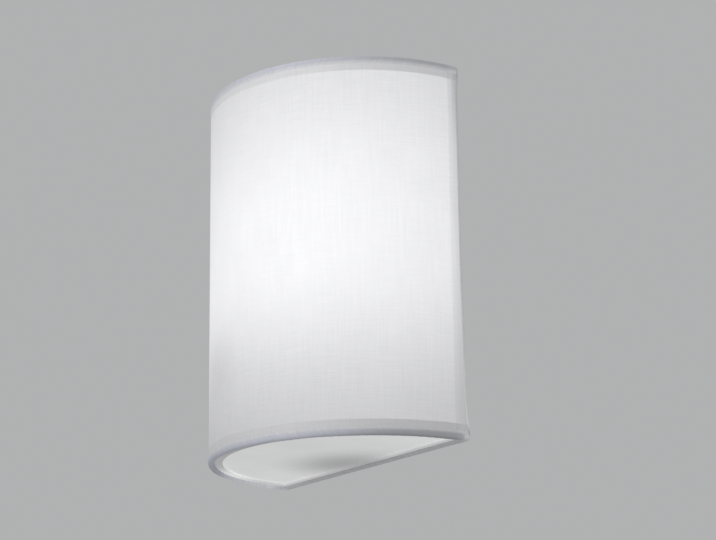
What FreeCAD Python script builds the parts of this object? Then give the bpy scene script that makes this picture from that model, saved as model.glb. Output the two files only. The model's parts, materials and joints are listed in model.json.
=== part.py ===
import FreeCAD, Part
import math
import os
import re

import Sketcher

# Half-round wall light: a cloth shade on two wire loops hangs by a bar in the
# notches of a steel wall bracket, around an upright lamp on an arm.
# X runs right as seen from the front, +Y into the wall, +Z up. The origin lies on
# the wall plane, midway between the two wall screws, at mid height of the shade.

SIZES = {
    # cloth shade
    "shade_width": 250,
    "shade_height": 300,
    "shade_leg": 7.5,          # straight stretch behind the half round
    "wall_gap": 3,             # wall to the back of the shade
    "cloth_thickness": 0.5,
    "liner_thickness": 0.4,
    "hem_setback": 2.8,        # side hem in front of the back of the loops
    "hem_width": 10,           # cloth turned in along each side
    "hem_turn": 11,            # cloth turned in at the top and bottom edge
    "hem_cloth": 0.6,
    "edge_fold": 2.4,          # folded edge of the side hem, front to back
    "edge_thickness": 2.2,
    "edge_proud": 0.2,
    "flare_length": 17,        # where the side hem runs back to the loops
    "flare_depth": 2.4,
    "roll_cloth": 0.85,        # cloth rolled round a loop's wire
    "roll_proud": 0.6,
    "roll_lap": 0.3,
    "turn_bite": 0.6,          # turned-in cloth running up into the roll
    "wrap_clearance": 0.15,
    "cloth_clearance": 0.2,
    # wire frame of the shade
    "ring_wire": 3.2,
    "ring_corner": 3.5,
    "strut_wire": 3,
    "strut_spacing": 120,
    "bar_wire": 4,
    "bar_drop": 40,            # bar below the top of the shade
    "weld_gap": 0.05,
    # diffuser and the ledge that carries it
    "ledge_gap": 0.4,
    "ledge_width": 6,
    "ledge_back_width": 4,
    "ledge_thickness": 1.2,
    "ledge_lift": 0.7,         # ledge above the lowest edge of the shade
    "diffuser_play": 1,
    "diffuser_thickness": 2,
    # wall bracket
    "bracket_width": 90,
    "ear_rise": 20,            # bracket above the hanging bar
    "tail_margin": 2,          # bracket below the tail of the arm
    "sheet_thickness": 1.5,
    "flange_depth": 10,
    "ear_depth": 18,
    "ear_drop": 14,            # ear below the hanging bar
    "notch_angle": 30,
    "notch_clearance": 0.3,
    "slot_spacing": 60,
    "slot_length": 12,
    "slot_width": 4.5,
    "cable_height": 80,
    "cable_bore": 10,
    "grommet_hole": 20,
    "grommet_rim": 24,
    "grommet_flange": 2,
    "fit_clearance": 0.1,
    # lamp arm
    "lamp_reach": 55,          # wall to the lamp's axis
    "arm_height": -92,
    "arm_width": 30,
    "arm_end": 15,             # arm in front of the lamp's axis
    "arm_thickness": 2,
    "arm_tail": 16,
    "arm_hole_reach": 15,
    "arm_hole": 11,
    "rivet_spacing": 18,
    "rivet_shank": 3.2,
    "rivet_head": 6,
    "rivet_dome": 1.3,
    "rivet_sink": 5.4,
    # lampholder
    "nipple_width": 10,
    "nipple_bore": 8,
    "nipple_drop": 8,          # nipple below the arm's top
    "nipple_rise": 6,
    "washer_width": 16,
    "washer_thickness": 1,
    "nut_width": 14,
    "nut_thickness": 3,
    "holder_width": 39,
    "holder_wall": 2,
    "cap_height": 21.8,
    "cap_collar": 9,           # radius of the collar on the nipple
    "cap_floor": 4.8,
    "cap_cone": 10,
    "holder_height": 38,
    "holder_bore": 32.4,
    "holder_mouth": 29.8,
    "holder_gap": 0.2,
    "core_width": 31.8,
    "core_height": 10,
    "core_rise": 21,           # core's underside above the arm
    "lead_spacing": 16,
    "lead_hole": 2.8,
    "lead_depth": 5,
    "clamp_offset": 5.5,
    "clamp_head": 4.4,
    "clamp_head_height": 1.8,
    "clamp_shank": 2.6,
    "clamp_length": 5,
    "shell_sheet": 0.4,
    "shell_radius": 14.1,      # middle of the thread
    "shell_foot": 2,
    "contact_width": 7,
    "contact_thickness": 0.5,
    "contact_rise": 2.4,
    "contact_gap": 0.3,
    "contact_foot": 4,
    "contact_slope": 2,
    "contact_lean": 0.3,
    "set_screw": 2.8,
    "set_screw_height": 2.4,
    # bulb
    "bulb_width": 60,
    "bulb_length": 108,
    "bulb_neck": 50,           # globe above the housing
    "globe_wall": 1.2,
    "housing_foot": 3,
    "cap_length": 27,
    "cap_radius": 12.7,        # middle of the thread
    "cap_foot": 3,
    "thread_pitch": 3.63,
    "thread_sagitta": 0.5,
    "thread_count": 5,
    "tip_radius": 4.8,
    "tip_height": 0.9,
    "insulator_radius": 9,
    "insulator_rim": 2,
    "board_radius": 19,
    "board_thickness": 1.2,
    "chip_width": 3,
    "chip_height": 0.8,
    "chip_circle": 13,
    "chip_count": 8,
    # terminal block
    "block_height": 38,
    "block_width": 34,
    "block_length": 18,
    "block_depth": 15,
    "pole_spacing": 11,
    "pole_reach": 7.5,         # wire entries in front of the bracket
    "insert_width": 5,
    "insert_bore": 3.4,
    "insert_length": 16,
    "pinch_spacing": 8,
    "pinch_screw": 3,
    "pinch_head": 4,
    "pinch_head_height": 1.6,
    "block_screw": 3,
    "block_screw_head": 5.2,
    "block_screw_head_height": 2,
    # earth connection
    "earth_offset": 18,
    "earth_height": -50,
    "earth_screw": 4,
    "earth_head": 7.6,
    "earth_head_height": 2.6,
    "earth_washer": 8,
    "earth_washer_thickness": 0.8,
    "tag_width": 8.6,
    "tag_thickness": 0.8,
    "barrel_width": 4.2,
    "barrel_length": 6,
    "barrel_end": 1,           # closed end of the barrel
    "screw_slot": 0.8,
    "screw_clearance": 0.15,
    # wires
    "wire_width": 2.2,
}

# what follows from the sizes
RADIUS = "(shade_width / 2)"
TOP = "(shade_height / 2)"
AXIS_Y = "(-(wall_gap + shade_leg))"
ROLL = "(ring_wire / 2 + wrap_clearance + roll_cloth)"
RING_IN = f"({ROLL} - roll_proud)"
RING_Z = f"({TOP} - {ROLL})"
RING_Y = f"(-(wall_gap + {RING_IN}))"
CLOTH_TOP = f"({TOP} - 2 * {ROLL} + roll_lap)"
LINER_TOP = f"({TOP} - 2 * {ROLL})"
EDGE_Y = "(-(wall_gap + hem_setback))"
FOLD_Y = f"({EDGE_Y} - edge_fold)"
FLARE_RADIUS = "((flare_length * flare_length + flare_depth * flare_depth) / (2 * flare_depth))"
TURN_IN = "(cloth_thickness + liner_thickness + cloth_clearance)"
BAR_Z = f"({TOP} - bar_drop)"
BAR_Y = f"({RING_Y} - (strut_wire + bar_wire) / 2 - weld_gap)"
LEDGE_IN = f"({RING_IN} + {ROLL} + ledge_gap)"
LEDGE_Z = f"(-{TOP} + ledge_lift)"
DIFFUSER_Z = f"({LEDGE_Z} + ledge_thickness)"
WEB_Y = "(-sheet_thickness)"
WEB_TOP = f"({BAR_Z} + ear_rise)"
WEB_LOW = "(arm_height - arm_tail - tail_margin)"
RIVET_Z = "(arm_height - arm_tail / 2)"
LAMP_Y = "(-lamp_reach)"
HOLDER_Z = "(arm_height + cap_height + holder_gap)"
CORE_Z = "(arm_height + core_rise)"
SHELL_Z = f"({CORE_Z} + core_height)"
CONTACT_TOP = f"({SHELL_Z} + contact_rise + contact_thickness)"
BULB_Z = f"({CONTACT_TOP} + contact_gap)"

PAST = "0.5"  # how far a cut starts or ends outside the material

doc = FreeCAD.newDocument("wall_light")
sheet = doc.addObject("Spreadsheet::Sheet", "sizes")
for row, (name, number) in enumerate(SIZES.items(), start=1):
    sheet.set(f"A{row}", name)
    sheet.set(f"B{row}", str(number))
    sheet.setAlias(f"B{row}", name)
doc.recompute()


def formula(text):
    """The text with each size's name made a reference to its cell."""
    return re.sub(r"[a-z][a-z_]+", lambda m: f"sizes.{m[0]}" if m[0] in SIZES else m[0], str(text))


def value(text):
    return float(sheet.evalExpression(formula(text)))


def bind(item, prop, text):
    item.setExpression(prop, formula(text))


def place(item, x="0", y="0", z="0"):
    for axis, text in zip("xyz", (x, y, z)):
        bind(item, f"Placement.Base.{axis}", text)


def new_body(label, x="0", y="0", z="0"):
    piece = doc.addObject("PartDesign::Body", label)
    piece.Label = label
    place(piece, x, y, z)
    return piece


def circle(x, y, radius):
    return ("circle", x, y, radius)


def draw_circle(sketch, x, y, radius):
    """One circle, its centre and radius held by the sizes."""
    centre = FreeCAD.Vector(value(x), value(y), 0)
    edge = sketch.addGeometry(Part.Circle(centre, FreeCAD.Vector(0, 0, 1), value(radius)))
    for kind, text in (("DistanceX", x), ("DistanceY", y)):
        hold = sketch.addConstraint(Sketcher.Constraint(kind, -1, 1, edge, 3, value(text)))
        bind(sketch, f"Constraints[{hold}]", text)
    hold = sketch.addConstraint(Sketcher.Constraint("Radius", edge, value(radius)))
    bind(sketch, f"Constraints[{hold}]", radius)


def draw_loop(sketch, corners):
    """A closed loop of corners (x, y); (x, y, cx, cy, way) starts an arc about (cx, cy),
    counter-clockwise for way 1 and clockwise for way -1. The sizes hold every point."""
    up = FreeCAD.Vector(0, 0, 1)
    points = [FreeCAD.Vector(value(c[0]), value(c[1]), 0) for c in corners]
    edges = []
    for i, corner in enumerate(corners):
        start, end = points[i], points[(i + 1) % len(points)]
        if len(corner) == 2:
            edges.append((sketch.addGeometry(Part.LineSegment(start, end)), 1, 2))
            continue
        centre = FreeCAD.Vector(value(corner[2]), value(corner[3]), 0)
        first, last = (start, end) if corner[4] > 0 else (end, start)
        angles = [math.atan2(p.y - centre.y, p.x - centre.x) for p in (first, last)]
        round_edge = Part.Circle(centre, up, start.distanceToPoint(centre))
        edge = sketch.addGeometry(Part.ArcOfCircle(round_edge, *angles))
        edges.append((edge, 1, 2) if corner[4] > 0 else (edge, 2, 1))
    for i, (corner, (edge, head, tail)) in enumerate(zip(corners, edges)):
        following = edges[(i + 1) % len(edges)]
        sketch.addConstraint(Sketcher.Constraint("Coincident", edge, tail, following[0], following[1]))
        holds = [("DistanceX", head, corner[0]), ("DistanceY", head, corner[1])]
        if len(corner) > 2:
            span = points[(i + 1) % len(points)] - points[i]
            across = abs(span.x) >= abs(span.y)
            holds.append(("DistanceY", 3, corner[3]) if across else ("DistanceX", 3, corner[2]))
        for kind, spot, text in holds:
            hold = sketch.addConstraint(Sketcher.Constraint(kind, -1, 1, edge, spot, value(text)))
            bind(sketch, f"Constraints[{hold}]", text)


def new_sketch(piece, plane, shapes, height="0"):
    """A sketch on one of the piece's own planes, moved by height along its normal."""
    sketch = piece.newObject("Sketcher::SketchObject", f"{piece.Name}_sketch")
    ground = [f for f in piece.Origin.OriginFeatures if f.Role == f"{plane}_Plane"][0]
    sketch.AttachmentSupport = [(ground, "")]
    sketch.MapMode = "FlatFace"
    bind(sketch, "AttachmentOffset.Base.z", height)
    for shape in shapes:
        if shape[0] == "circle":
            draw_circle(sketch, *shape[1:])
        else:
            draw_loop(sketch, shape)
    return sketch


def pad(piece, plane, shapes, length, height="0"):
    feature = piece.newObject("PartDesign::Pad", f"{piece.Name}_pad")
    feature.Profile = new_sketch(piece, plane, shapes, height)
    bind(feature, "Length", length)
    doc.recompute()
    return feature


def pocket(piece, plane, shapes, length, height="0", along=True):
    """Cuts from the sketch along its plane's normal, or against it, and must take material."""
    before = piece.Shape.Volume
    feature = piece.newObject("PartDesign::Pocket", f"{piece.Name}_pocket")
    feature.Profile = new_sketch(piece, plane, shapes, height)
    feature.Reversed = along
    bind(feature, "Length", length)
    doc.recompute()
    if piece.Shape.Volume >= before - 1e-3:
        raise ValueError(f"{piece.Label}: a pocket cuts nothing")
    return feature


def revolve(piece, shapes):
    """Turns an outline in the XZ plane once round the piece's own Z axis."""
    feature = piece.newObject("PartDesign::Revolution", f"{piece.Name}_turn")
    sketch = new_sketch(piece, "XZ", shapes)
    feature.Profile = sketch
    feature.ReferenceAxis = (sketch, ["V_Axis"])
    feature.Angle = 360
    doc.recompute()
    return feature


def rectangle(x0, y0, x1, y1):
    return [(x0, y0), (x1, y0), (x1, y1), (x0, y1)]


def cylinder(label, radius, length, x="0", y="0", z="0", lies=None):
    """A plain round rod, upright or lying along X or Y."""
    rod = doc.addObject("Part::Cylinder", label)
    rod.Label = label
    if lies == "x":
        rod.Placement.Rotation = FreeCAD.Rotation(FreeCAD.Vector(0, 1, 0), 90)
    if lies == "y":
        rod.Placement.Rotation = FreeCAD.Rotation(FreeCAD.Vector(1, 0, 0), -90)
    bind(rod, "Radius", radius)
    bind(rod, "Height", length)
    place(rod, x, y, z)
    return rod


def fuse(label, parts):
    joined = doc.addObject("Part::MultiFuse", label)
    joined.Label = label
    joined.Shapes = parts
    joined.Refine = True
    doc.recompute()
    return joined


def cut(label, base, tool):
    left = doc.addObject("Part::Cut", label)
    left.Label = label
    left.Base = base
    left.Tool = tool
    doc.recompute()
    return left


# ---------------------------------------------------------------- cloth shade

def open_d(outer, thickness, rear):
    """Half round with short straight legs, open to the wall: outer is how far it lies
    inside the cloth's face."""
    big, small = f"({RADIUS} - {outer})", f"({RADIUS} - {outer} - {thickness})"
    return [
        (f"-{big}", AXIS_Y, "0", AXIS_Y, 1),
        (big, AXIS_Y),
        (big, rear),
        (small, rear),
        (small, AXIS_Y, "0", AXIS_Y, -1),
        (f"-{small}", AXIS_Y),
        (f"-{small}", rear),
        (f"-{big}", rear),
    ]


def closed_d(inset, back_inset):
    """Half round closed by a straight back."""
    radius = f"({RADIUS} - {inset})"
    rear = f"(-(wall_gap + {back_inset}))"
    half = f"sqrt({radius} * {radius} - ({rear} - {AXIS_Y}) * ({rear} - {AXIS_Y}))"
    return [(f"-{half}", rear, "0", AXIS_Y, 1), (half, rear)]


def flared(front, half_height):
    """Points of a line up the side hem that runs back towards the loops at both ends."""
    straight = f"({half_height} - flare_length)"
    centre = f"({front} + {FLARE_RADIUS})"
    back = f"({front} + flare_depth)"
    return [
        (back, f"-{half_height}", centre, f"-{straight}", -1),
        (front, f"-{straight}"),
        (front, straight, centre, straight, -1),
        (back, half_height),
    ]


def flared_down(front, half_height):
    straight = f"({half_height} - flare_length)"
    centre = f"({front} + {FLARE_RADIUS})"
    back = f"({front} + flare_depth)"
    return [
        (back, half_height, centre, straight, 1),
        (front, straight),
        (front, f"-{straight}", centre, f"-{straight}", 1),
        (back, f"-{half_height}"),
    ]


def shade_skin(label, outer, thickness, half_height):
    """Cloth or liner: the half-round skin, cut back to the folded edges of the side hems."""
    skin = new_body(label)
    height = f"(2 * {half_height})"
    pad(skin, "XY", [open_d(outer, thickness, "(-wall_gap)")], height, f"-{half_height}")
    ends = f"({CLOTH_TOP} + cloth_clearance)"
    behind = [("0", f"-{ends}"), ("0", ends)]
    edge = flared_down(f"({FOLD_Y} - cloth_clearance)", CLOTH_TOP)
    front_top = (f"({FOLD_Y} - cloth_clearance + flare_depth)", ends)
    front_low = (f"({FOLD_Y} - cloth_clearance + flare_depth)", f"-{ends}")
    outline = behind + [front_top] + edge + [front_low]
    pocket(skin, "YZ", [outline], f"(shade_width + 2 * {PAST})", f"(-shade_width / 2 - {PAST})")
    return skin


def side_hem(label, side):
    """Folded edge with the cloth turned in behind the liner; side is 1 right, -1 left."""
    hem = new_body(label)
    outside = f"({RADIUS} + edge_proud)"
    start = f"({outside} - edge_thickness)" if side > 0 else f"-{outside}"
    fold = flared(EDGE_Y, LINER_TOP) + flared_down(FOLD_Y, LINER_TOP)
    pad(hem, "YZ", [fold], "edge_thickness", start)
    depth = f"({RADIUS} - {TURN_IN})"
    start = f"({depth} - hem_cloth)" if side > 0 else f"-{depth}"
    half = f"({TOP} - hem_turn - cloth_clearance)"
    turned = rectangle(f"({EDGE_Y} - hem_width)", f"-{half}", f"({FOLD_Y} + edge_fold / 2)", half)
    pad(hem, "YZ", [turned], "hem_cloth", start)
    return hem


def wire_loop(label, radius, z):
    """Closed loop of round section: half round, legs, corners and the straight back."""
    bend = f"({RADIUS} - {RING_IN})"
    corner_x, corner_y = f"({bend} - ring_corner)", f"({RING_Y} - ring_corner)"
    arcs = [("front", bend, "0", AXIS_Y, 180, 180),
            ("right", "ring_corner", corner_x, corner_y, 0, 90),
            ("left", "ring_corner", f"-{corner_x}", corner_y, 90, 90)]
    parts = []
    for where, sweep, x, y, turned, span in arcs:
        arc = doc.addObject("Part::Torus", f"{label}_{where}")
        arc.Placement.Rotation = FreeCAD.Rotation(FreeCAD.Vector(0, 0, 1), turned)
        arc.Angle3 = span
        bind(arc, "Radius1", sweep)
        bind(arc, "Radius2", radius)
        place(arc, x, y, z)
        parts.append(arc)
    leg = f"({corner_y} - {AXIS_Y})"
    for where, x in (("right_leg", bend), ("left_leg", f"-{bend}")):
        parts.append(cylinder(f"{label}_{where}", radius, leg, x, AXIS_Y, z, lies="y"))
    back = cylinder(f"{label}_back", radius, f"(2 * {corner_x})", f"-{corner_x}", RING_Y, z, lies="x")
    return fuse(label, parts + [back])


def loop_hem(label, side):
    """Cloth rolled round a loop, open where the struts meet the wire, and turned in
    behind the liner; side is 1 at the top, -1 at the bottom."""
    z = f"({side} * {RING_Z})"
    bore = "(ring_wire / 2 + wrap_clearance)"
    roll = cut(f"{label}_roll", wire_loop(f"{label}_outer", ROLL, z), wire_loop(f"{label}_bore", bore, z))
    low, high = f"({TOP} - hem_turn)", f"({TOP} - 2 * {ROLL} + turn_bite)"
    turned = new_body(f"{label}_turned")
    rear = f"({FOLD_Y} - cloth_clearance)"
    start = low if side > 0 else f"-{high}"
    pad(turned, "XY", [open_d(TURN_IN, "hem_cloth", rear)], f"({high} - {low})", start)
    whole = fuse(f"{label}_whole", [roll, turned])
    hole = "(strut_wire / 2 + wrap_clearance)"
    start = f"({RING_Z} - {ROLL} - {PAST})" if side > 0 else f"-{RING_Z}"
    strut_holes = [
        cylinder(f"{label}_{where}_hole", hole, f"({ROLL} + {PAST})", x, RING_Y, start)
        for where, x in (("left", "(-strut_spacing / 2)"), ("right", "(strut_spacing / 2)"))
    ]
    return cut(label, whole, fuse(f"{label}_holes", strut_holes))


def back_strut(label, x):
    half = f"({RING_Z} - ring_wire / 2 - weld_gap)"
    return cylinder(label, "(strut_wire / 2)", f"(2 * {half})", x, RING_Y, f"-{half}")


def hanger_bar():
    length = "(strut_spacing + strut_wire)"
    return cylinder("hanger_bar", "(bar_wire / 2)", length, f"(-{length} / 2)", BAR_Y, BAR_Z, lies="x")


def diffuser_ledge():
    ledge = new_body("diffuser_ledge")
    outline = closed_d(LEDGE_IN, LEDGE_IN)
    opening = closed_d(f"({LEDGE_IN} + ledge_width)", f"({LEDGE_IN} + ledge_back_width)")
    pad(ledge, "XY", [outline, opening], "ledge_thickness", LEDGE_Z)
    return ledge


def diffuser():
    plate = new_body("diffuser")
    inset = f"({LEDGE_IN} + diffuser_play)"
    pad(plate, "XY", [closed_d(inset, inset)], "diffuser_thickness", DIFFUSER_Z)
    return plate


# --------------------------------------------------------------- wall bracket

def ear_outline():
    """Side flange seen from the right: an ear at the top with the slanted notch."""
    rise, run = "sin(notch_angle * 1 deg)", "cos(notch_angle * 1 deg)"
    half = "(bar_wire / 2 + notch_clearance)"
    low = (f"({BAR_Y} - {half} * {rise})", f"({BAR_Z} - {half} * {run})")
    high = (f"({BAR_Y} + {half} * {rise})", f"({BAR_Z} + {half} * {run})")
    low_mouth = f"({low[1]} + (ear_depth + {low[0]}) / {run} * {rise})"
    high_mouth = f"({high[1]} + (ear_depth + {high[0]}) / {run} * {rise})"
    ear_low = f"({BAR_Z} - ear_drop)"
    return [
        ("0", WEB_LOW),
        ("0", WEB_TOP),
        ("-flange_depth", WEB_TOP),
        ("-ear_depth", f"({WEB_TOP} - (ear_depth - flange_depth))"),
        ("-ear_depth", high_mouth),
        (high[0], high[1], BAR_Y, BAR_Z, -1),
        low,
        ("-ear_depth", low_mouth),
        ("-ear_depth", ear_low),
        ("-flange_depth", f"({ear_low} - (ear_depth - flange_depth))"),
        ("-flange_depth", WEB_LOW),
    ]


def slot(x):
    """Slot for a wall screw, level, seen from the front."""
    half, radius = "((slot_length - slot_width) / 2)", "(slot_width / 2)"
    left, right = f"({x} - {half})", f"({x} + {half})"
    return [
        (left, f"-{radius}"),
        (right, f"-{radius}", right, "0", 1),
        (right, radius),
        (left, radius, left, "0", 1),
    ]


def wall_bracket():
    bracket = new_body("wall_bracket")
    web = rectangle("(-bracket_width / 2)", WEB_LOW, "(bracket_width / 2)", WEB_TOP)
    pad(bracket, "XZ", [web], "sheet_thickness")
    for start in ("(bracket_width / 2 - sheet_thickness)", "(-bracket_width / 2)"):
        pad(bracket, "YZ", [ear_outline()], "sheet_thickness", start)
    holes = [
        slot("(-slot_spacing / 2)"),
        slot("(slot_spacing / 2)"),
        circle("0", "cable_height", "(grommet_hole / 2)"),
        circle("(pole_spacing / 2)", "(block_height + block_length / 2)", "(block_screw / 2 + screw_clearance)"),
        circle("earth_offset", "earth_height", "(earth_screw / 2 + screw_clearance)"),
    ]
    for x in ("(-rivet_spacing / 2)", "(rivet_spacing / 2)"):
        holes.append(circle(x, RIVET_Z, "(rivet_sink / 2 + fit_clearance)"))
    pocket(bracket, "XZ", holes, f"(sheet_thickness + 2 * {PAST})", f"-{PAST}")
    return bracket


def cable_grommet():
    """Bush pressed in the bracket's hole from the front, flush with its back."""
    bush = new_body("cable_grommet", z="cable_height")
    bore = circle("0", "0", "(cable_bore / 2)")
    neck = circle("0", "0", "(grommet_hole / 2 - fit_clearance)")
    pad(bush, "XZ", [neck, bore], "sheet_thickness")
    pad(bush, "XZ", [circle("0", "0", "(grommet_rim / 2)"), bore], "grommet_flange", "sheet_thickness")
    return bush


def lamp_arm():
    """Angle riveted to the bracket, with holes for the nipple and the wires."""
    arm = new_body("lamp_arm")
    front = f"({LAMP_Y} - arm_end)"
    under = "(arm_height - arm_thickness)"
    tail = "(arm_height - arm_tail)"
    side = [
        (WEB_Y, "arm_height"),
        (front, "arm_height"),
        (front, under),
        (f"({WEB_Y} - arm_thickness)", under),
        (f"({WEB_Y} - arm_thickness)", tail),
        (WEB_Y, tail),
    ]
    pad(arm, "YZ", [side], "arm_width", "(-arm_width / 2)")
    holes = [
        circle("0", LAMP_Y, "(nipple_width / 2 + fit_clearance)"),
        circle("0", "-arm_hole_reach", "(arm_hole / 2)"),
    ]
    pocket(arm, "XY", holes, f"(arm_thickness + 2 * {PAST})", f"({under} - {PAST})")
    rivets = [
        circle(x, RIVET_Z, "(rivet_shank / 2 + fit_clearance)")
        for x in ("(-rivet_spacing / 2)", "(rivet_spacing / 2)")
    ]
    pocket(arm, "XZ", rivets, f"(arm_thickness + 2 * {PAST})", f"(sheet_thickness - {PAST})")
    return arm


def arm_rivets():
    """Two rivets, sunk flush at the back of the bracket and domed at the front."""
    rivets = []
    depth = "(sheet_thickness + arm_thickness)"
    dome = "((rivet_head * rivet_head / 4 + rivet_dome * rivet_dome) / (2 * rivet_dome))"
    for side, x in (("left", "(-rivet_spacing / 2)"), ("right", "(rivet_spacing / 2)")):
        rivet = new_body(f"arm_rivet_{side}", x=x, z=RIVET_Z)
        turn = FreeCAD.Rotation(FreeCAD.Vector(1, 0, 0), 90)
        rivet.Placement.Rotation = turn
        revolve(rivet, [[
            ("0", "fit_clearance"),
            ("(rivet_sink / 2)", "fit_clearance"),
            ("(rivet_sink / 2)", "(sheet_thickness - fit_clearance)"),
            ("(rivet_shank / 2)", "(sheet_thickness - fit_clearance)"),
            ("(rivet_shank / 2)", depth),
            ("(rivet_head / 2)", depth, "0", f"({depth} + rivet_dome - {dome})", 1),
            ("0", f"({depth} + rivet_dome)"),
        ]])
        rivets.append(rivet)
    return fuse("arm_rivets", rivets)


# ---------------------------------------------------------------- lampholder

def on_lamp_axis(label, z="0"):
    return new_body(label, y=LAMP_Y, z=z)


def threaded_nipple():
    nipple = on_lamp_axis("threaded_nipple", "(arm_height - nipple_drop)")
    rings = [circle("0", "0", "(nipple_width / 2)"), circle("0", "0", "(nipple_bore / 2)")]
    pad(nipple, "XY", rings, "(nipple_drop + nipple_rise)")
    return nipple


def lock_washer():
    washer = on_lamp_axis("lock_washer", "(arm_height - arm_thickness - washer_thickness)")
    rings = [circle("0", "0", "(washer_width / 2)"), circle("0", "0", "(nipple_width / 2 + fit_clearance)")]
    pad(washer, "XY", rings, "washer_thickness")
    return washer


def nipple_nut():
    z = "(arm_height - arm_thickness - washer_thickness - nut_thickness)"
    nut = on_lamp_axis("nipple_nut", z)
    corner = "(nut_width / sqrt(3))"
    hexagon = [
        (f"({corner} * {math.cos(math.radians(60 * i)):.6f})", f"({corner} * {math.sin(math.radians(60 * i)):.6f})")
        for i in range(6)
    ]
    pad(nut, "XY", [hexagon, circle("0", "0", "(nipple_width / 2 + fit_clearance)")], "nut_thickness")
    return nut


def holder_cap():
    """Domed lower half of the lampholder, screwed on the nipple."""
    cap = on_lamp_axis("holder_cap", "arm_height")
    outer, inner = "(holder_width / 2)", "(holder_width / 2 - holder_wall)"
    bore = "(nipple_width / 2 + fit_clearance)"
    revolve(cap, [[
        (bore, "0"),
        ("cap_collar", "0"),
        ("cap_collar", "(cap_floor - holder_wall)"),
        (outer, "(cap_floor - holder_wall + cap_cone)"),
        (outer, "cap_height"),
        (inner, "cap_height"),
        (inner, "(cap_floor + cap_cone)"),
        ("cap_collar", "cap_floor"),
        (bore, "cap_floor"),
    ]])
    hole = circle("0", "set_screw_height", "(set_screw / 2 + fit_clearance)")
    pocket(cap, "XZ", [hole], f"(cap_collar + {PAST})")
    return cap


def holder_set_screw():
    """Grub screw that locks the cap on the nipple."""
    reach = "(nipple_width / 2 + 2 * fit_clearance)"
    length = f"(cap_collar - {reach})"
    y = f"({LAMP_Y} - cap_collar)"
    return cylinder("holder_set_screw", "(set_screw / 2)", length, "0", y, "(arm_height + set_screw_height)", lies="y")


def holder_body():
    """Upper half of the lampholder, a tube that narrows at its mouth round the thread."""
    tube = on_lamp_axis("holder_body", HOLDER_Z)
    outer, bore, mouth = "(holder_width / 2)", "(holder_bore / 2)", "(holder_mouth / 2)"
    revolve(tube, [[
        (bore, "0"),
        (outer, "0"),
        (outer, "(holder_height - holder_wall)"),
        (f"({outer} - holder_wall)", "holder_height"),
        (mouth, "holder_height"),
        (mouth, "(holder_height - holder_wall)"),
        (bore, "(holder_height - holder_wall)"),
    ]])
    return tube


def holder_core():
    """Insulating core with a hole for each lead and each clamp screw."""
    core = on_lamp_axis("holder_core", CORE_Z)
    pad(core, "XY", [circle("0", "0", "(core_width / 2)")], "core_height")
    holes = []
    for x in ("(-lead_spacing / 2)", "(lead_spacing / 2)"):
        holes.append(circle(x, "0", "(lead_hole / 2)"))
        holes.append(circle(x, "clamp_offset", "(clamp_shank / 2 + fit_clearance)"))
    pocket(core, "XY", holes, "lead_depth")
    return core


def holder_clamp_screws():
    """Two screws under the core that clamp the leads."""
    screws = []
    for side, x in (("left", "(-lead_spacing / 2)"), ("right", "(lead_spacing / 2)")):
        screw = new_body(f"clamp_screw_{side}", x=x, y=f"({LAMP_Y} + clamp_offset)", z=CORE_Z)
        pad(screw, "XY", [circle("0", "0", "(clamp_head / 2)")], "clamp_head_height", "-clamp_head_height")
        pad(screw, "XY", [circle("0", "0", "(clamp_shank / 2)")], "(clamp_length - fit_clearance)")
        groove = rectangle("(-clamp_head)", "(-screw_slot / 2)", "clamp_head", "(screw_slot / 2)")
        pocket(screw, "XY", [groove], f"(clamp_head_height / 2 + {PAST})", f"(-clamp_head_height - {PAST})")
        screws.append(screw)
    return fuse("holder_clamp_screws", screws)


def thread_ridges(middle, start, way):
    """Corners of a round thread in section, one ridge and one groove a turn; way 1 climbs."""
    half = "(thread_pitch / 2)"
    bulge = f"(({half} * {half} / 4 + thread_sagitta * thread_sagitta) / (2 * thread_sagitta))"
    corners = []
    for i in range(2 * SIZES["thread_count"]):
        step = i if way > 0 else 2 * SIZES["thread_count"] - i
        z = f"({start} + {step} * {half})"
        middle_z = f"({start} + {step + way * 0.5} * {half})"
        outward = (i % 2 == 0) if way > 0 else (i % 2 == 1)
        shift = f"({middle} - {bulge} + thread_sagitta)" if outward else f"({middle} + {bulge} - thread_sagitta)"
        corners.append((middle, z, shift, middle_z, way if outward else -way))
    return corners


def screw_shell():
    """Threaded brass sleeve that stands on the core."""
    shell = on_lamp_axis("screw_shell", SHELL_Z)
    outer = "(shell_radius + shell_sheet)"
    length = "(thread_count * thread_pitch)"
    profile = [("shell_radius", "0"), (outer, "0")]
    profile += thread_ridges(outer, "shell_foot", 1)
    profile += [(outer, f"(shell_foot + {length})")]
    profile += thread_ridges("shell_radius", "shell_foot", -1)
    profile += [("shell_radius", "shell_foot")]
    revolve(shell, [profile])
    return shell


def centre_contact():
    """Spring tongue on the core that presses on the bulb's tip."""
    tongue = on_lamp_axis("centre_contact", SHELL_Z)
    foot, tip = "(-contact_width / 2 - contact_foot)", "(contact_width / 2)"
    low = "(-contact_width / 2 - contact_slope / 2)"
    high = "(-contact_width / 2 + contact_slope / 2)"
    top = "(contact_rise + contact_thickness)"
    side = [
        (foot, "0"),
        (low, "0"),
        (high, "contact_rise"),
        (tip, "contact_rise"),
        (tip, top),
        (f"({high} - contact_lean)", top),
        (f"({low} - contact_lean)", "contact_thickness"),
        (foot, "contact_thickness"),
    ]
    pad(tongue, "XZ", [side], "contact_width", "(-contact_width / 2)")
    return tongue


# ----------------------------------------------------------------------- bulb

def on_bulb(label, z="0"):
    return new_body(label, y=LAMP_Y, z=f"({BULB_Z} + {z})")


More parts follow.
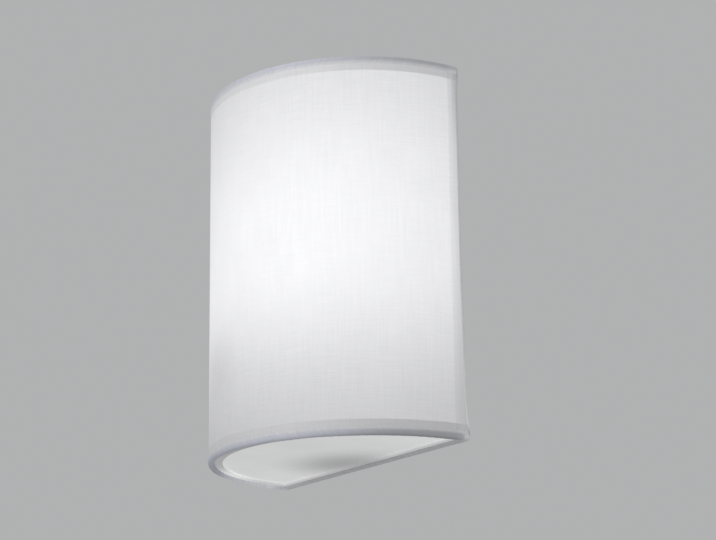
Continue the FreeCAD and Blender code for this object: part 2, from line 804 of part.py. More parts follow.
def bulb_globe():
    globe = on_bulb("bulb_globe")
    radius, inner = "(bulb_width / 2)", "(bulb_width / 2 - globe_wall)"
    centre = f"(bulb_length - {radius})"
    foot = "(bulb_length - bulb_neck)"
    outer_neck = f"sqrt({radius} * {radius} - ({centre} - {foot}) * ({centre} - {foot}))"
    inner_neck = f"sqrt({inner} * {inner} - ({centre} - {foot}) * ({centre} - {foot}))"
    revolve(globe, [[
        (outer_neck, foot, "0", centre, 1),
        ("0", "bulb_length"),
        ("0", "(bulb_length - globe_wall)", "0", centre, -1),
        (inner_neck, foot),
    ]])
    return globe


def bulb_housing():
    housing = on_bulb("bulb_housing")
    top = "(bulb_length - bulb_neck)"
    wide = f"(sqrt(bulb_width * bulb_width / 4 - (bulb_neck - bulb_width / 2) * (bulb_neck - bulb_width / 2)))"
    narrow = "(cap_radius + 2 * thread_sagitta)"
    revolve(housing, [[
        ("0", "cap_length"),
        (narrow, "cap_length"),
        (narrow, "(cap_length + housing_foot)"),
        (wide, f"({top} - housing_foot)"),
        (wide, top),
        ("0", top),
    ]])
    return housing


def led_board():
    board = on_bulb("led_board", "(bulb_length - bulb_neck)")
    pad(board, "XY", [circle("0", "0", "board_radius")], "board_thickness")
    return board


def led_chips():
    chips = []
    for i in range(SIZES["chip_count"]):
        angle = f"({i} * 360 / chip_count * 1 deg)"
        x = f"(chip_circle * cos{angle})"
        y = f"({LAMP_Y} + chip_circle * sin{angle})"
        z = f"({BULB_Z} + bulb_length - bulb_neck + board_thickness)"
        chip = new_body(f"led_chip_{i + 1}", x, y, z)
        half = "(chip_width / 2)"
        pad(chip, "XY", [rectangle(f"-{half}", f"-{half}", half, half)], "chip_height")
        chips.append(chip)
    return fuse("led_chips", chips)


def bulb_cap():
    """Threaded brass cap, a sleeve over the lower end of the housing."""
    cap = on_bulb("bulb_cap")
    length = "(thread_count * thread_pitch)"
    inner = "(cap_radius - 2 * thread_sagitta)"
    profile = [(inner, "cap_foot")]
    profile += thread_ridges("cap_radius", "cap_foot", 1)
    profile += [
        ("cap_radius", f"(cap_foot + {length})"),
        ("cap_radius", "cap_length"),
        (inner, "cap_length"),
    ]
    revolve(cap, [profile])
    return cap


def bulb_insulator():
    """Glass button that closes the cap round the tip."""
    button = on_bulb("bulb_insulator")
    inner = "(cap_radius - 2 * thread_sagitta - fit_clearance)"
    revolve(button, [[
        ("0", "tip_height"),
        ("tip_radius", "tip_height"),
        ("insulator_radius", "cap_foot"),
        (inner, "cap_foot"),
        (inner, "(cap_foot + insulator_rim)"),
        ("0", "(cap_foot + insulator_rim)"),
    ]])
    return button


def bulb_tip():
    tip = on_bulb("bulb_tip")
    pad(tip, "XY", [circle("0", "0", "tip_radius")], "tip_height")
    return tip


# ------------------------------------------------------------- terminal block

POLES = {"left": "(-pole_spacing)", "middle": "0", "right": "pole_spacing"}
PINCHES = ("(-pinch_spacing / 2)", "(pinch_spacing / 2)")


def terminal_block():
    """Insulating block on the bracket: three through holes with a screw at each end."""
    block = new_body("terminal_block", y=WEB_Y, z="(block_height + block_length / 2)")
    half = "(block_width / 2)"
    outline = rectangle(f"-{half}", "-block_depth", half, "0")
    pad(block, "XY", [outline], "block_length", "(-block_length / 2)")
    entries = [circle(x, "-pole_reach", "(insert_width / 2 + fit_clearance)") for x in POLES.values()]
    pocket(block, "XY", entries, f"(block_length + 2 * {PAST})", f"(-block_length / 2 - {PAST})")
    screws = [circle(x, z, "(pinch_head / 2 + screw_clearance)") for x in POLES.values() for z in PINCHES]
    pocket(block, "XZ", screws, f"(block_depth - pole_reach + {PAST})", "pole_reach")
    fixing = circle("(pole_spacing / 2)", "0", "(block_screw / 2 + screw_clearance)")
    pocket(block, "XZ", [fixing], f"(block_depth + 2 * {PAST})", f"-{PAST}")
    return block


def terminal_inserts():
    """Brass tubes in the block, each with two holes for its screws."""
    inserts = []
    for pole, x in POLES.items():
        z = "(block_height + block_length / 2)"
        insert = new_body(f"insert_{pole}", x, f"({WEB_Y} - pole_reach)", z)
        rings = [circle("0", "0", "(insert_width / 2)"), circle("0", "0", "(insert_bore / 2)")]
        pad(insert, "XY", rings, "insert_length", "(-insert_length / 2)")
        holes = [circle("0", z, "(pinch_screw / 2 + screw_clearance)") for z in PINCHES]
        pocket(insert, "XZ", holes, "insert_width", "0")
        inserts.append(insert)
    return fuse("terminal_inserts", inserts)


def terminal_screws():
    """Slotted screws over the wires, their heads below the block's face."""
    screws = []
    tip = "(wire_width / 2 + screw_clearance)"
    head = "(insert_width / 2 + screw_clearance)"
    for pole, x in POLES.items():
        for end, z in zip(("low", "high"), PINCHES):
            middle = f"(block_height + block_length / 2 + {z})"
            screw = new_body(f"pinch_{pole}_{end}", x, f"({WEB_Y} - pole_reach)", middle)
            pad(screw, "XZ", [circle("0", "0", "(pinch_screw / 2)")], f"({head} - {tip})", tip)
            pad(screw, "XZ", [circle("0", "0", "(pinch_head / 2)")], "pinch_head_height", head)
            groove = rectangle("(-pinch_head)", "(-screw_slot / 2)", "pinch_head", "(screw_slot / 2)")
            pocket(screw, "XZ", [groove], "pinch_head_height", f"({head} + pinch_head_height / 2)")
            screws.append(screw)
    return fuse("terminal_screws", screws)


def block_fixing_screw():
    screw = new_body("block_fixing_screw", "(pole_spacing / 2)", WEB_Y, "(block_height + block_length / 2)")
    shank = "(block_depth + sheet_thickness - fit_clearance)"
    pad(screw, "XZ", [circle("0", "0", "(block_screw / 2)")], shank, "(-sheet_thickness + fit_clearance)")
    pad(screw, "XZ", [circle("0", "0", "(block_screw_head / 2)")], "block_screw_head_height", "block_depth")
    groove = rectangle("(-block_screw_head)", "(-screw_slot / 2)", "block_screw_head", "(screw_slot / 2)")
    pocket(screw, "XZ", [groove], "block_screw_head_height", "(block_depth + block_screw_head_height / 2)")
    return screw


# ----------------------------------------------------------- earth connection

def earth_washer():
    washer = new_body("earth_washer", "earth_offset", WEB_Y, "earth_height")
    rings = [circle("0", "0", "(earth_washer / 2)"), circle("0", "0", "(earth_screw / 2 + screw_clearance)")]
    pad(washer, "XZ", rings, "earth_washer_thickness")
    return washer


def earth_tag():
    """Ring tag under the screw head with a crimped barrel for the wire."""
    tag = new_body("earth_tag", "earth_offset", f"({WEB_Y} - earth_washer_thickness)", "earth_height")
    eye = circle("0", "0", "(earth_screw / 2 + screw_clearance)")
    pad(tag, "XZ", [circle("0", "0", "(tag_width / 2)"), eye], "tag_thickness")
    tongue = rectangle("(-barrel_width / 2)", "(earth_head / 2)", "(barrel_width / 2)", "(tag_width / 2 + barrel_length)")
    pad(tag, "XZ", [tongue], "tag_thickness")
    barrel = circle("0", "(-barrel_width / 2)", "(barrel_width / 2)")
    bore = circle("0", "(-barrel_width / 2)", "(wire_width / 2 + fit_clearance)")
    pad(tag, "XY", [barrel], "barrel_length", "(tag_width / 2)")
    pocket(tag, "XY", [bore], "barrel_length", "(tag_width / 2 + barrel_end)")
    return tag


def earth_screw():
    y = f"({WEB_Y} - earth_washer_thickness - tag_thickness)"
    screw = new_body("earth_screw", "earth_offset", y, "earth_height")
    pad(screw, "XZ", [circle("0", "0", "(earth_head / 2)")], "earth_head_height")
    shank = "(sheet_thickness + earth_washer_thickness + tag_thickness - fit_clearance)"
    pad(screw, "XZ", [circle("0", "0", "(earth_screw / 2)")], shank, f"-{shank}")
    groove = rectangle("(-earth_head)", "(-screw_slot / 2)", "earth_head", "(screw_slot / 2)")
    pocket(screw, "XZ", [groove], "earth_head_height", "(earth_head_height / 2)")
    return screw


# ---------------------------------------------------------------------- wires

# Each route runs from the terminal block down the bracket; the two lamp wires go
# through the arm, turn under it and rise through the nipple to the lampholder.
LIVE_ROUTE = [
    (-11, -9, 47), (-11.2, -9.4, 16), (-9.6, -7.8, -22), (-4.2, -10.5, -60),
    (-2.6, -15.5, -112), (-2.0, -55, -112), (-2.0, -55, -80), (-8, -55, -74), (-8, -55, -67),
]
NEUTRAL_ROUTE = [
    (11, -9, 47), (11.3, -8.9, 14), (8.8, -8.3, -20), (4.6, -9.8, -62),
    (2.6, -15.2, -112), (2.0, -55, -112), (2.0, -55, -80), (8, -55, -74), (8, -55, -67),
]
EARTH_ROUTE = [
    (0, -9, 47), (0.4, -9.2, 24), (4.2, -7.2, 2), (13.5, -5.6, -20), (18, -4.4, -34), (18, -4.4, -44.5),
]


# under the nipple the bend is kept short, so that the wire stands upright in its bore
NIPPLE_BEND = 10.5
REACHES = {
    ("live_wire", LIVE_ROUTE[5]): NIPPLE_BEND,
    ("neutral_wire", NEUTRAL_ROUTE[5]): NIPPLE_BEND,
}
BEND_SHARE = 0.45  # of the shorter run beside a bend


def tube_path(route, label):
    """Straight runs joined by tangent arcs, each as large as its two runs allow."""
    points = [FreeCAD.Vector(*p) for p in route]
    edges, here = [], points[0]
    for before, corner, after in zip(points, points[1:], points[2:]):
        back, ahead = (before - corner), (after - corner)
        shorter = min(back.Length, ahead.Length)
        back.normalize()
        ahead.normalize()
        half_turn = (math.pi - back.getAngle(ahead)) / 2
        reach = min(BEND_SHARE * shorter, REACHES.get((label, tuple(corner)), shorter))
        radius = reach / math.tan(half_turn)
        start, end = corner + back * reach, corner + ahead * reach
        inward = (back + ahead).normalize()
        top = corner + inward * (radius / math.cos(half_turn) - radius)
        edges.append(Part.LineSegment(here, start).toShape())
        edges.append(Part.Arc(start, top, end).toShape())
        here = end
        print(f"{label}: turn of {math.degrees(2 * half_turn):.0f} degrees, radius {radius:.1f}")
    edges.append(Part.LineSegment(here, points[-1]).toShape())
    return Part.Wire(edges)


def wire(label, route):
    path = tube_path(route, label)
    start = FreeCAD.Vector(*route[0])
    along = FreeCAD.Vector(*route[1]) - start
    section = Part.Wire(Part.makeCircle(value("wire_width / 2"), start, along))
    shape = path.makePipeShell([section], True, False)
    expected = math.pi * value("wire_width / 2") ** 2 * path.Length
    print(f"{label}: length {path.Length:.1f}, volume {shape.Volume:.1f} of {expected:.1f}")
    core = doc.addObject("Part::Feature", label)
    core.Label = label
    core.Shape = shape
    core.Placement = FreeCAD.Placement()
    return core


def build():
    """Every sub-part, in the order in which the light is put together."""
    return [
        wall_bracket(),
        cable_grommet(),
        lamp_arm(),
        arm_rivets(),
        threaded_nipple(),
        lock_washer(),
        nipple_nut(),
        holder_cap(),
        holder_set_screw(),
        holder_core(),
        holder_clamp_screws(),
        holder_body(),
        screw_shell(),
        centre_contact(),
        terminal_block(),
        terminal_inserts(),
        terminal_screws(),
        block_fixing_screw(),
        earth_washer(),
        earth_tag(),
        earth_screw(),
        wire("live_wire", LIVE_ROUTE),
        wire("neutral_wire", NEUTRAL_ROUTE),
        wire("earth_wire", EARTH_ROUTE),
        bulb_globe(),
        bulb_housing(),
        led_board(),
        led_chips(),
        bulb_cap(),
        bulb_insulator(),
        bulb_tip(),
        wire_loop("top_ring", "(ring_wire / 2)", RING_Z),
        wire_loop("bottom_ring", "(ring_wire / 2)", f"-{RING_Z}"),
        back_strut("left_back_strut", "(-strut_spacing / 2)"),
        back_strut("right_back_strut", "(strut_spacing / 2)"),
        hanger_bar(),
        shade_skin("shade_cloth", "0", "cloth_thickness", CLOTH_TOP),
        shade_skin("shade_liner", "cloth_thickness", "liner_thickness", LINER_TOP),
        side_hem("right_side_hem", 1),
        side_hem("left_side_hem", -1),
        loop_hem("top_hem", 1),
        loop_hem("bottom_hem", -1),
        diffuser_ledge(),
        diffuser(),
    ]


def check(pieces):
    """No object has failed and every sub-part is a sound solid."""
    for item in doc.Objects:
        if any(word in state for state in item.State for word in ("Invalid", "Error")):
            raise ValueError(f"{item.Name} failed: {item.State}")
    for piece in pieces:
        shape = piece.Shape
        if shape.isNull() or not shape.isValid() or not shape.Solids:
            raise ValueError(f"{piece.Label} has no sound solid")


pieces = build()
doc.recompute()
check(pieces)
os.makedirs("parts", exist_ok=True)
for piece in pieces:
    piece.Shape.exportStep(f"parts/{piece.Label}.step")
    box = piece.Shape.BoundBox
    print(f"{piece.Label}: {len(piece.Shape.Solids)} solid, volume {piece.Shape.Volume:.1f}, "
          f"{box.XLength:.1f} x {box.YLength:.1f} x {box.ZLength:.1f}")
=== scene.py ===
import bpy
import bmesh
import json
import math
import random
from mathutils import Matrix, Vector


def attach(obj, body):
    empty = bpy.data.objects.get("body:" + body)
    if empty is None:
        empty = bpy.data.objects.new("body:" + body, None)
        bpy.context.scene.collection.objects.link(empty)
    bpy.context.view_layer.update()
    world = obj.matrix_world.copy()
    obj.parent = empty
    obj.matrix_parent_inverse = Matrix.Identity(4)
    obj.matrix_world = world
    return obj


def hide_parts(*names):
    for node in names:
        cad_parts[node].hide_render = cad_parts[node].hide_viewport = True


# A half-round cloth wall light, lit from inside. Everything is in metres, with the
# origin on the wall plane, +X right seen from the front, +Y into the wall, +Z up.
# Values that differ at the shade's two ends are held as {1: top, -1: bottom}.

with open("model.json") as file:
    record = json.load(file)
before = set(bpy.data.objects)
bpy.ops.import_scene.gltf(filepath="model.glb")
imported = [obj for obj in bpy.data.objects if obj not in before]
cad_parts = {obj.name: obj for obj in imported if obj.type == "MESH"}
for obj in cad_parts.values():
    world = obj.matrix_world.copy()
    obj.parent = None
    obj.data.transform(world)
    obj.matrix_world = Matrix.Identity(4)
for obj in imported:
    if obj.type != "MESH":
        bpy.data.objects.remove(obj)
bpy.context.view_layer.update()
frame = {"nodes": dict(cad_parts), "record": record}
NODES = frame["nodes"]

MM = 0.001

# shade
RADIUS = 125 * MM
AXIS_Y = -10.5 * MM
TOP = 150 * MM
CLOTH_TOP = 145.1 * MM
CLOTH_REACH = 146.4 * MM     # cloth running on into the rolled hem
CLOTH_BACK = -7.4 * MM       # rear edge of the cloth, inside the side hem
CLOTH_THICK = 0.45 * MM
LINER_TOP = 144.8 * MM
LINER_INSET = 0.5 * MM       # from the cloth's outer face
LINER_THICK = 0.35 * MM
EDGE_Y = -5.8 * MM           # rear edge of the side hem
HALF_LENGTH = math.pi * RADIUS / 2 + (EDGE_Y - AXIS_Y)   # from that edge to mid front
SIDE_BAND = 10 * MM          # doubled cloth along the side edges
END_BAND = 11 * MM           # doubled cloth at the top and bottom edges

# the side edges' run back towards the wall: short at both ends, slow below mid height
FLARE_LENGTH = {1: 17 * MM, -1: 35 * MM}
FLARE_DEPTH = {1: 2.4 * MM, -1: 2.8 * MM}
SAG_LENGTH = 90 * MM
SAG_DEPTH = 1.3 * MM

# rolled hem: its section as (outwards from the cloth's face, height), in millimetres,
# swelling gently out of the cloth and round the wire
ROLL_IN = 2.0 * MM
ROLL_CHORD = {1: -5.0 * MM, -1: -4.4 * MM}
ROLL_CORNER = {1: 2.9 * MM, -1: 1.5 * MM}
ROLL_TALLER = {1: 1.10, -1: 1.16}
ROLL_SECTION = (
    (-0.3, 144.0), (0.04, 144.7), (0.26, 145.6), (0.50, 146.6), (0.60, 147.6), (0.48, 148.7),
    (0.0, 149.6), (-0.9, 150.3), (-2.0, 150.5), (-3.1, 150.2), (-4.1, 149.3), (-4.6, 147.9),
    (-4.5, 146.4), (-3.8, 145.2), (-2.6, 144.6), (-1.3, 144.4),
)
ROLL_BASE = 144 * MM
ROLL_MIDDLE = 147.8 * MM
ROLL_HALF = 2.6 * MM         # half its height, and what a turn round it is measured by
PUCKER_FROM = 144.6 * MM     # the cloth lies flat below this height
TURN_IN = 1.1 * MM
TURN_THICK = 0.6 * MM
TURN_LOW = TOP - END_BAND
TURN_HIGH = 144.9 * MM

# folded side edge, tucked in under the rolls
FOLD_WIDTH = 2.2 * MM
FOLD_DEPTH = 2.4 * MM
FOLD_PROUD = 0.2 * MM
FOLD_ROUND = 0.9 * MM
FOLD_REACH = 147.5 * MM
FOLD_SPACING = 0.4 * MM      # between the points of its outline
TUCK_FROM = 139 * MM
TUCK_LENGTH = 8 * MM
TUCK_SHARE = {1: 1.0, -1: 0.6}
TUCK_INWARDS = 1.1 * MM
TUCK_FORWARDS = 0.5 * MM
STRIP_HALF = 138.8 * MM

# lower corners, drawn out where the cloth is folded round the wire; each pair says where
# along that way the push begins and where it is full
CORNER_OUT = 0.8 * MM
CORNER_BACK = 0.6 * MM
CORNER_DOWN = (134 * MM, 146 * MM)
OUT_ACROSS = (RADIUS - 4.2 * MM, RADIUS - 1.0 * MM)
OUT_TO_WALL = (-32 * MM, -8 * MM)
BACK_ACROSS = (100 * MM, 122 * MM)
BACK_TO_WALL = (-9 * MM, -4 * MM)

BULB = Vector((0, -55 * MM, 20.2 * MM))


# ------------------------------------------------------------------ mesh tools

def mesh_object(name, build):
    """A mesh object made by build(bm, uv), shaded smooth."""
    bm = bmesh.new()
    uv = bm.loops.layers.uv.new("UVMap")
    build(bm, uv)
    bmesh.ops.recalc_face_normals(bm, faces=bm.faces)
    mesh = bpy.data.meshes.new(name)
    bm.to_mesh(mesh)
    bm.free()
    mesh.polygons.foreach_set("use_smooth", [True] * len(mesh.polygons))
    piece = bpy.data.objects.new(name, mesh)
    bpy.context.scene.collection.objects.link(piece)
    return piece


def add_grid(bm, uv, rows, coords, round_rows=False, round_columns=False):
    """Quads over rows of points; coords holds each point's (u, v) in metres."""
    verts = [[bm.verts.new(p) for p in row] for row in rows]
    height, width = len(rows), len(rows[0])
    for i in range(height if round_rows else height - 1):
        for j in range(width if round_columns else width - 1):
            ring = [(i, j), (i, j + 1), (i + 1, j + 1), (i + 1, j)]
            face = bm.faces.new([verts[a % height][b % width] for a, b in ring])
            for loop, (a, b) in zip(face.loops, ring):
                loop[uv].uv = coords[a % height][b % width]
    return verts


def close_ends(bm, uv, verts):
    """Faces over the first and last row of a tube."""
    for row in (verts[0], verts[-1]):
        face = bm.faces.new(row)
        for loop in face.loops:
            loop[uv].uv = (0, 0)


def ripple(seed, count, shortest, longest):
    """A sum of slanted waves over (along, around), between about -1 and 1."""
    rng = random.Random(seed)
    waves = []
    for _ in range(count):
        length = rng.uniform(shortest, longest)
        slant, phase, share = rng.uniform(-1.6, 1.6), rng.uniform(0, 6.28), rng.uniform(0.5, 1)
        waves.append((2 * math.pi / length, slant, phase, share))
    total = sum(share for _, _, _, share in waves)

    def height(along, around):
        return sum(a * math.sin(k * along + s * around + p) for k, s, p, a in waves) / total * 1.7
    return height


def ease(t):
    """0 below 0, 1 above 1, and an even slope between."""
    t = min(max(t, 0.0), 1.0)
    return t * t * (3 - 2 * t)


def rise(value, low, high):
    """0 up to low, 1 from high on, and an even slope between."""
    return ease((value - low) / (high - low))


# ----------------------------------------------------------------- shade paths

def heading(angle):
    """The level direction at that angle, in radians from +X towards +Y."""
    return Vector((math.cos(angle), math.sin(angle), 0))


def flare(z, half):
    """How far the side edge runs back towards the wall at height z."""
    end = 1 if z > 0 else -1
    length, depth = FLARE_LENGTH[end], FLARE_DEPTH[end]
    beyond = min(abs(z), half) - (half - length)
    sag = SAG_DEPTH * ease(-z / SAG_LENGTH)
    if beyond <= 0:
        return sag
    radius = (length ** 2 + depth ** 2) / (2 * depth)
    return sag + radius - math.sqrt(radius ** 2 - beyond ** 2)


def half_round(inset, rear_y, leg_steps, arc_steps):
    """Points and outward directions from the right rear edge round the front to the left."""
    radius = RADIUS - inset
    points = []
    for i in range(leg_steps):
        y = rear_y + (AXIS_Y - rear_y) * i / leg_steps
        points.append((Vector((radius, y, 0)), Vector((1, 0, 0))))
    for i in range(arc_steps + 1):
        out = heading(-math.pi * i / arc_steps)
        points.append((Vector((0, AXIS_Y, 0)) + out * radius, out))
    for i in range(1, leg_steps + 1):
        y = AXIS_Y + (rear_y - AXIS_Y) * i / leg_steps
        points.append((Vector((-radius, y, 0)), Vector((-1, 0, 0))))
    return points


def closed_path(inset, chord_y, corner, arc_steps, chord_steps, corner_steps):
    """The loop's centre line and outward directions: arc, legs, bends and straight back."""
    radius = RADIUS - inset
    path = []
    for i in range(arc_steps + 1):
        out = heading(-math.pi * i / arc_steps)
        path.append((Vector((0, AXIS_Y, 0)) + out * radius, out))
    leg_end = chord_y - corner
    centre = Vector((-radius + corner, leg_end, 0))
    for i in range(corner_steps + 1):
        out = heading(math.pi - math.pi / 2 * i / corner_steps)
        path.append((centre + out * corner, out))
    for i in range(1, chord_steps):
        x = (-radius + corner) + 2 * (radius - corner) * i / chord_steps
        path.append((Vector((x, chord_y, 0)), Vector((0, 1, 0))))
    centre = Vector((radius - corner, leg_end, 0))
    for i in range(corner_steps + 1):
        out = heading(math.pi / 2 - math.pi / 2 * i / corner_steps)
        path.append((centre + out * corner, out))
    return path


def lengths(points):
    """Distance along a line of (point, direction) pairs, one number for each."""
    run, out = 0.0, [0.0]
    for (a, _), (b, _) in zip(points, points[1:]):
        run += (b - a).length
        out.append(run)
    return out


def smooth_section(corners, steps):
    """A closed curve through the corners, with steps points for each of them."""
    count, points = len(corners), []
    for i in range(count):
        a, b, c, d = (Vector(corners[(i + k) % count]) for k in (-1, 0, 1, 2))
        for j in range(steps):
            t = j / steps
            points.append(0.5 * (2 * b + (c - a) * t + (2 * a - 5 * b + 4 * c - d) * t ** 2
                                 + (3 * b - a - 3 * c + d) * t ** 3) * MM)
    return points


def rounded_section(width, depth, radius, steps):
    """Corners of a rounded rectangle about its centre, counter-clockwise."""
    points = []
    for sx, sy, start in ((1, 1, 0), (-1, 1, 90), (-1, -1, 180), (1, -1, 270)):
        cx, cy = sx * (width / 2 - radius), sy * (depth / 2 - radius)
        for i in range(steps + 1):
            angle = math.radians(start + 90 * i / steps)
            points.append((cx + radius * math.cos(angle), cy + radius * math.sin(angle)))
    return points


# --------------------------------------------------------------- shade pieces

def skin(name, inset, half_height, thickness, z_steps, arc_steps):
    """One layer of the shade, with its rear edges flared at the top and bottom."""
    def build(bm, uv):
        rows, coords = [], []
        for i in range(z_steps + 1):
            z = -half_height + 2 * half_height * i / z_steps
            rear = CLOTH_BACK + flare(z, CLOTH_TOP)
            line = half_round(inset, rear, 4, arc_steps)
            rows.append([p + Vector((0, 0, z)) for p, _ in line])
            coords.append([(EDGE_Y - rear + s, z) for s in lengths(line)])
        add_grid(bm, uv, rows, coords)
    piece = mesh_object(name, build)
    flip_outward(piece)
    solid = piece.modifiers.new("thickness", "SOLIDIFY")
    solid.thickness = thickness
    solid.offset = -1
    solid.use_even_offset = True
    return piece


def flip_outward(piece):
    """Turns all faces so that they look away from the shade's axis."""
    mesh = piece.data
    face = mesh.polygons[len(mesh.polygons) // 2]
    out = face.center - Vector((0, AXIS_Y, face.center.z))
    if face.normal.dot(out) < 0:
        mesh.flip_normals()


def make_loop_hem(name, side, seed):
    """Cloth rolled round a wire loop with small slanted puckers, and its turned-in band."""
    pucker = ripple(seed, 16, 3.0 * MM, 10 * MM)
    slow = ripple(seed + 1, 5, 30 * MM, 90 * MM)
    section = [Vector((x, ROLL_BASE + (z - ROLL_BASE) * ROLL_TALLER[side]))
               for x, z in smooth_section(ROLL_SECTION, 2)]
    centre = Vector((-ROLL_IN, ROLL_MIDDLE))

    def build(bm, uv):
        path = closed_path(ROLL_IN, ROLL_CHORD[side], ROLL_CORNER[side],
                           arc_steps=520, chord_steps=220, corner_steps=8)
        rows, coords = [], []
        for (point, out), s in zip(path, lengths(path)):
            row, coord = [], []
            for j, spot in enumerate(section):
                around = 2 * math.pi * j / len(section)
                free = rise(spot.y, PUCKER_FROM, PUCKER_FROM + ROLL_HALF)
                swell = 1 + free * (0.045 * pucker(s, around) + 0.02 * slow(s, 0))
                spot = centre + (spot - centre) * swell
                row.append(point + out * (spot.x + ROLL_IN) + Vector((0, 0, side * spot.y)))
                coord.append((s, around * ROLL_HALF))
            rows.append(row)
            coords.append(coord)
        add_grid(bm, uv, rows, coords, round_rows=True, round_columns=True)
        add_turned_band(bm, uv, side, slow)
    return mesh_object(name, build)


def add_turned_band(bm, uv, side, slow):
    """Cloth turned in behind the lining, along the half round only."""
    outer = half_round(TURN_IN, CLOTH_BACK, leg_steps=3, arc_steps=300)
    rows, coords = [], []
    for (point, out), s in zip(outer, lengths(outer)):
        low = TURN_LOW + slow(s * 2.3, 1.0) * 0.25 * MM
        section = [(0, TURN_HIGH), (0, low + 0.15 * MM), (TURN_THICK * 0.5, low),
                   (TURN_THICK, low + 0.2 * MM), (TURN_THICK, (low + TURN_HIGH) / 2),
                   (TURN_THICK, TURN_HIGH)]
        rows.append([point - out * d + Vector((0, 0, side * z)) for d, z in section])
        coords.append([(s, z) for _, z in section])
    close_ends(bm, uv, add_grid(bm, uv, rows, coords, round_columns=True))


def make_side_hem(name, side, seed):
    """Folded rear edge of the cloth, with the strip that is turned in."""
    wave = ripple(seed, 9, 7 * MM, 40 * MM)
    fine = ripple(seed + 3, 9, 2.6 * MM, 7 * MM)
    outline = rounded_section(FOLD_WIDTH, FOLD_DEPTH, FOLD_ROUND, 5)
    steps = 300

    def build(bm, uv):
        rows, coords = [], []
        for i in range(steps + 1):
            z = -FOLD_REACH + 2 * FOLD_REACH * i / steps
            tuck = rise(abs(z), TUCK_FROM, TUCK_FROM + TUCK_LENGTH) * TUCK_SHARE[1 if z >= 0 else -1]
            centre_x = RADIUS + FOLD_PROUD - FOLD_WIDTH / 2 - tuck * TUCK_INWARDS
            centre_y = EDGE_Y + flare(z, LINER_TOP) - FOLD_DEPTH / 2 - tuck * TUCK_FORWARDS
            row, coord = [], []
            for j, (x, y) in enumerate(outline):
                around = 2 * math.pi * j / len(outline)
                puff = 1 + 0.035 * wave(z, around) + 0.02 * fine(z, around)
                row.append(Vector((side * (centre_x + x * puff), centre_y + y * puff, z)))
                coord.append((j * FOLD_SPACING, z))
            rows.append(row)
            coords.append(coord)
        close_ends(bm, uv, add_grid(bm, uv, rows, coords, round_columns=True))
        add_turned_strip(bm, uv, side, wave)
    return mesh_object(name, build)


def add_turned_strip(bm, uv, side, wave):
    """The strip behind the lining, from the fold forwards round the start of the curve."""
    line = half_round(TURN_IN, EDGE_Y - FOLD_DEPTH / 2, leg_steps=4, arc_steps=400)
    kept = [(p, out, s) for (p, out), s in zip(line, lengths(line)) if s < SIDE_BAND]
    steps = 90
    rows, coords = [], []
    for i in range(steps + 1):
        z = -STRIP_HALF + 2 * STRIP_HALF * i / steps
        front = 1 + 0.03 * wave(z, 0.5)
        row, coord = [], []
        for point, _, s in kept:
            y = point.y * front if s > SIDE_BAND * 0.9 else point.y
            row.append(Vector((side * point.x, y, z)))
            coord.append((s, z))
        for point, out, s in reversed(kept):
            inner = point - out * TURN_THICK
            row.append(Vector((side * inner.x, inner.y, z)))
            coord.append((s, z))
        rows.append(row)
        coords.append(coord)
    close_ends(bm, uv, add_grid(bm, uv, rows, coords, round_columns=True))


def draw_out_corners(piece):
    """Moves the outer layers at the two lower corners a little outwards and back."""
    for vertex in piece.data.vertices:
        x, y, z = vertex.co
        low = rise(-z, *CORNER_DOWN)
        outer = rise(abs(x), *OUT_ACROSS) * rise(y, *OUT_TO_WALL)
        rear = rise(abs(x), *BACK_ACROSS) * rise(y, *BACK_TO_WALL)
        vertex.co.x += math.copysign(CORNER_OUT * low * outer, x)
        vertex.co.y += CORNER_BACK * low * rear


# -------------------------------------------------------------- material tools

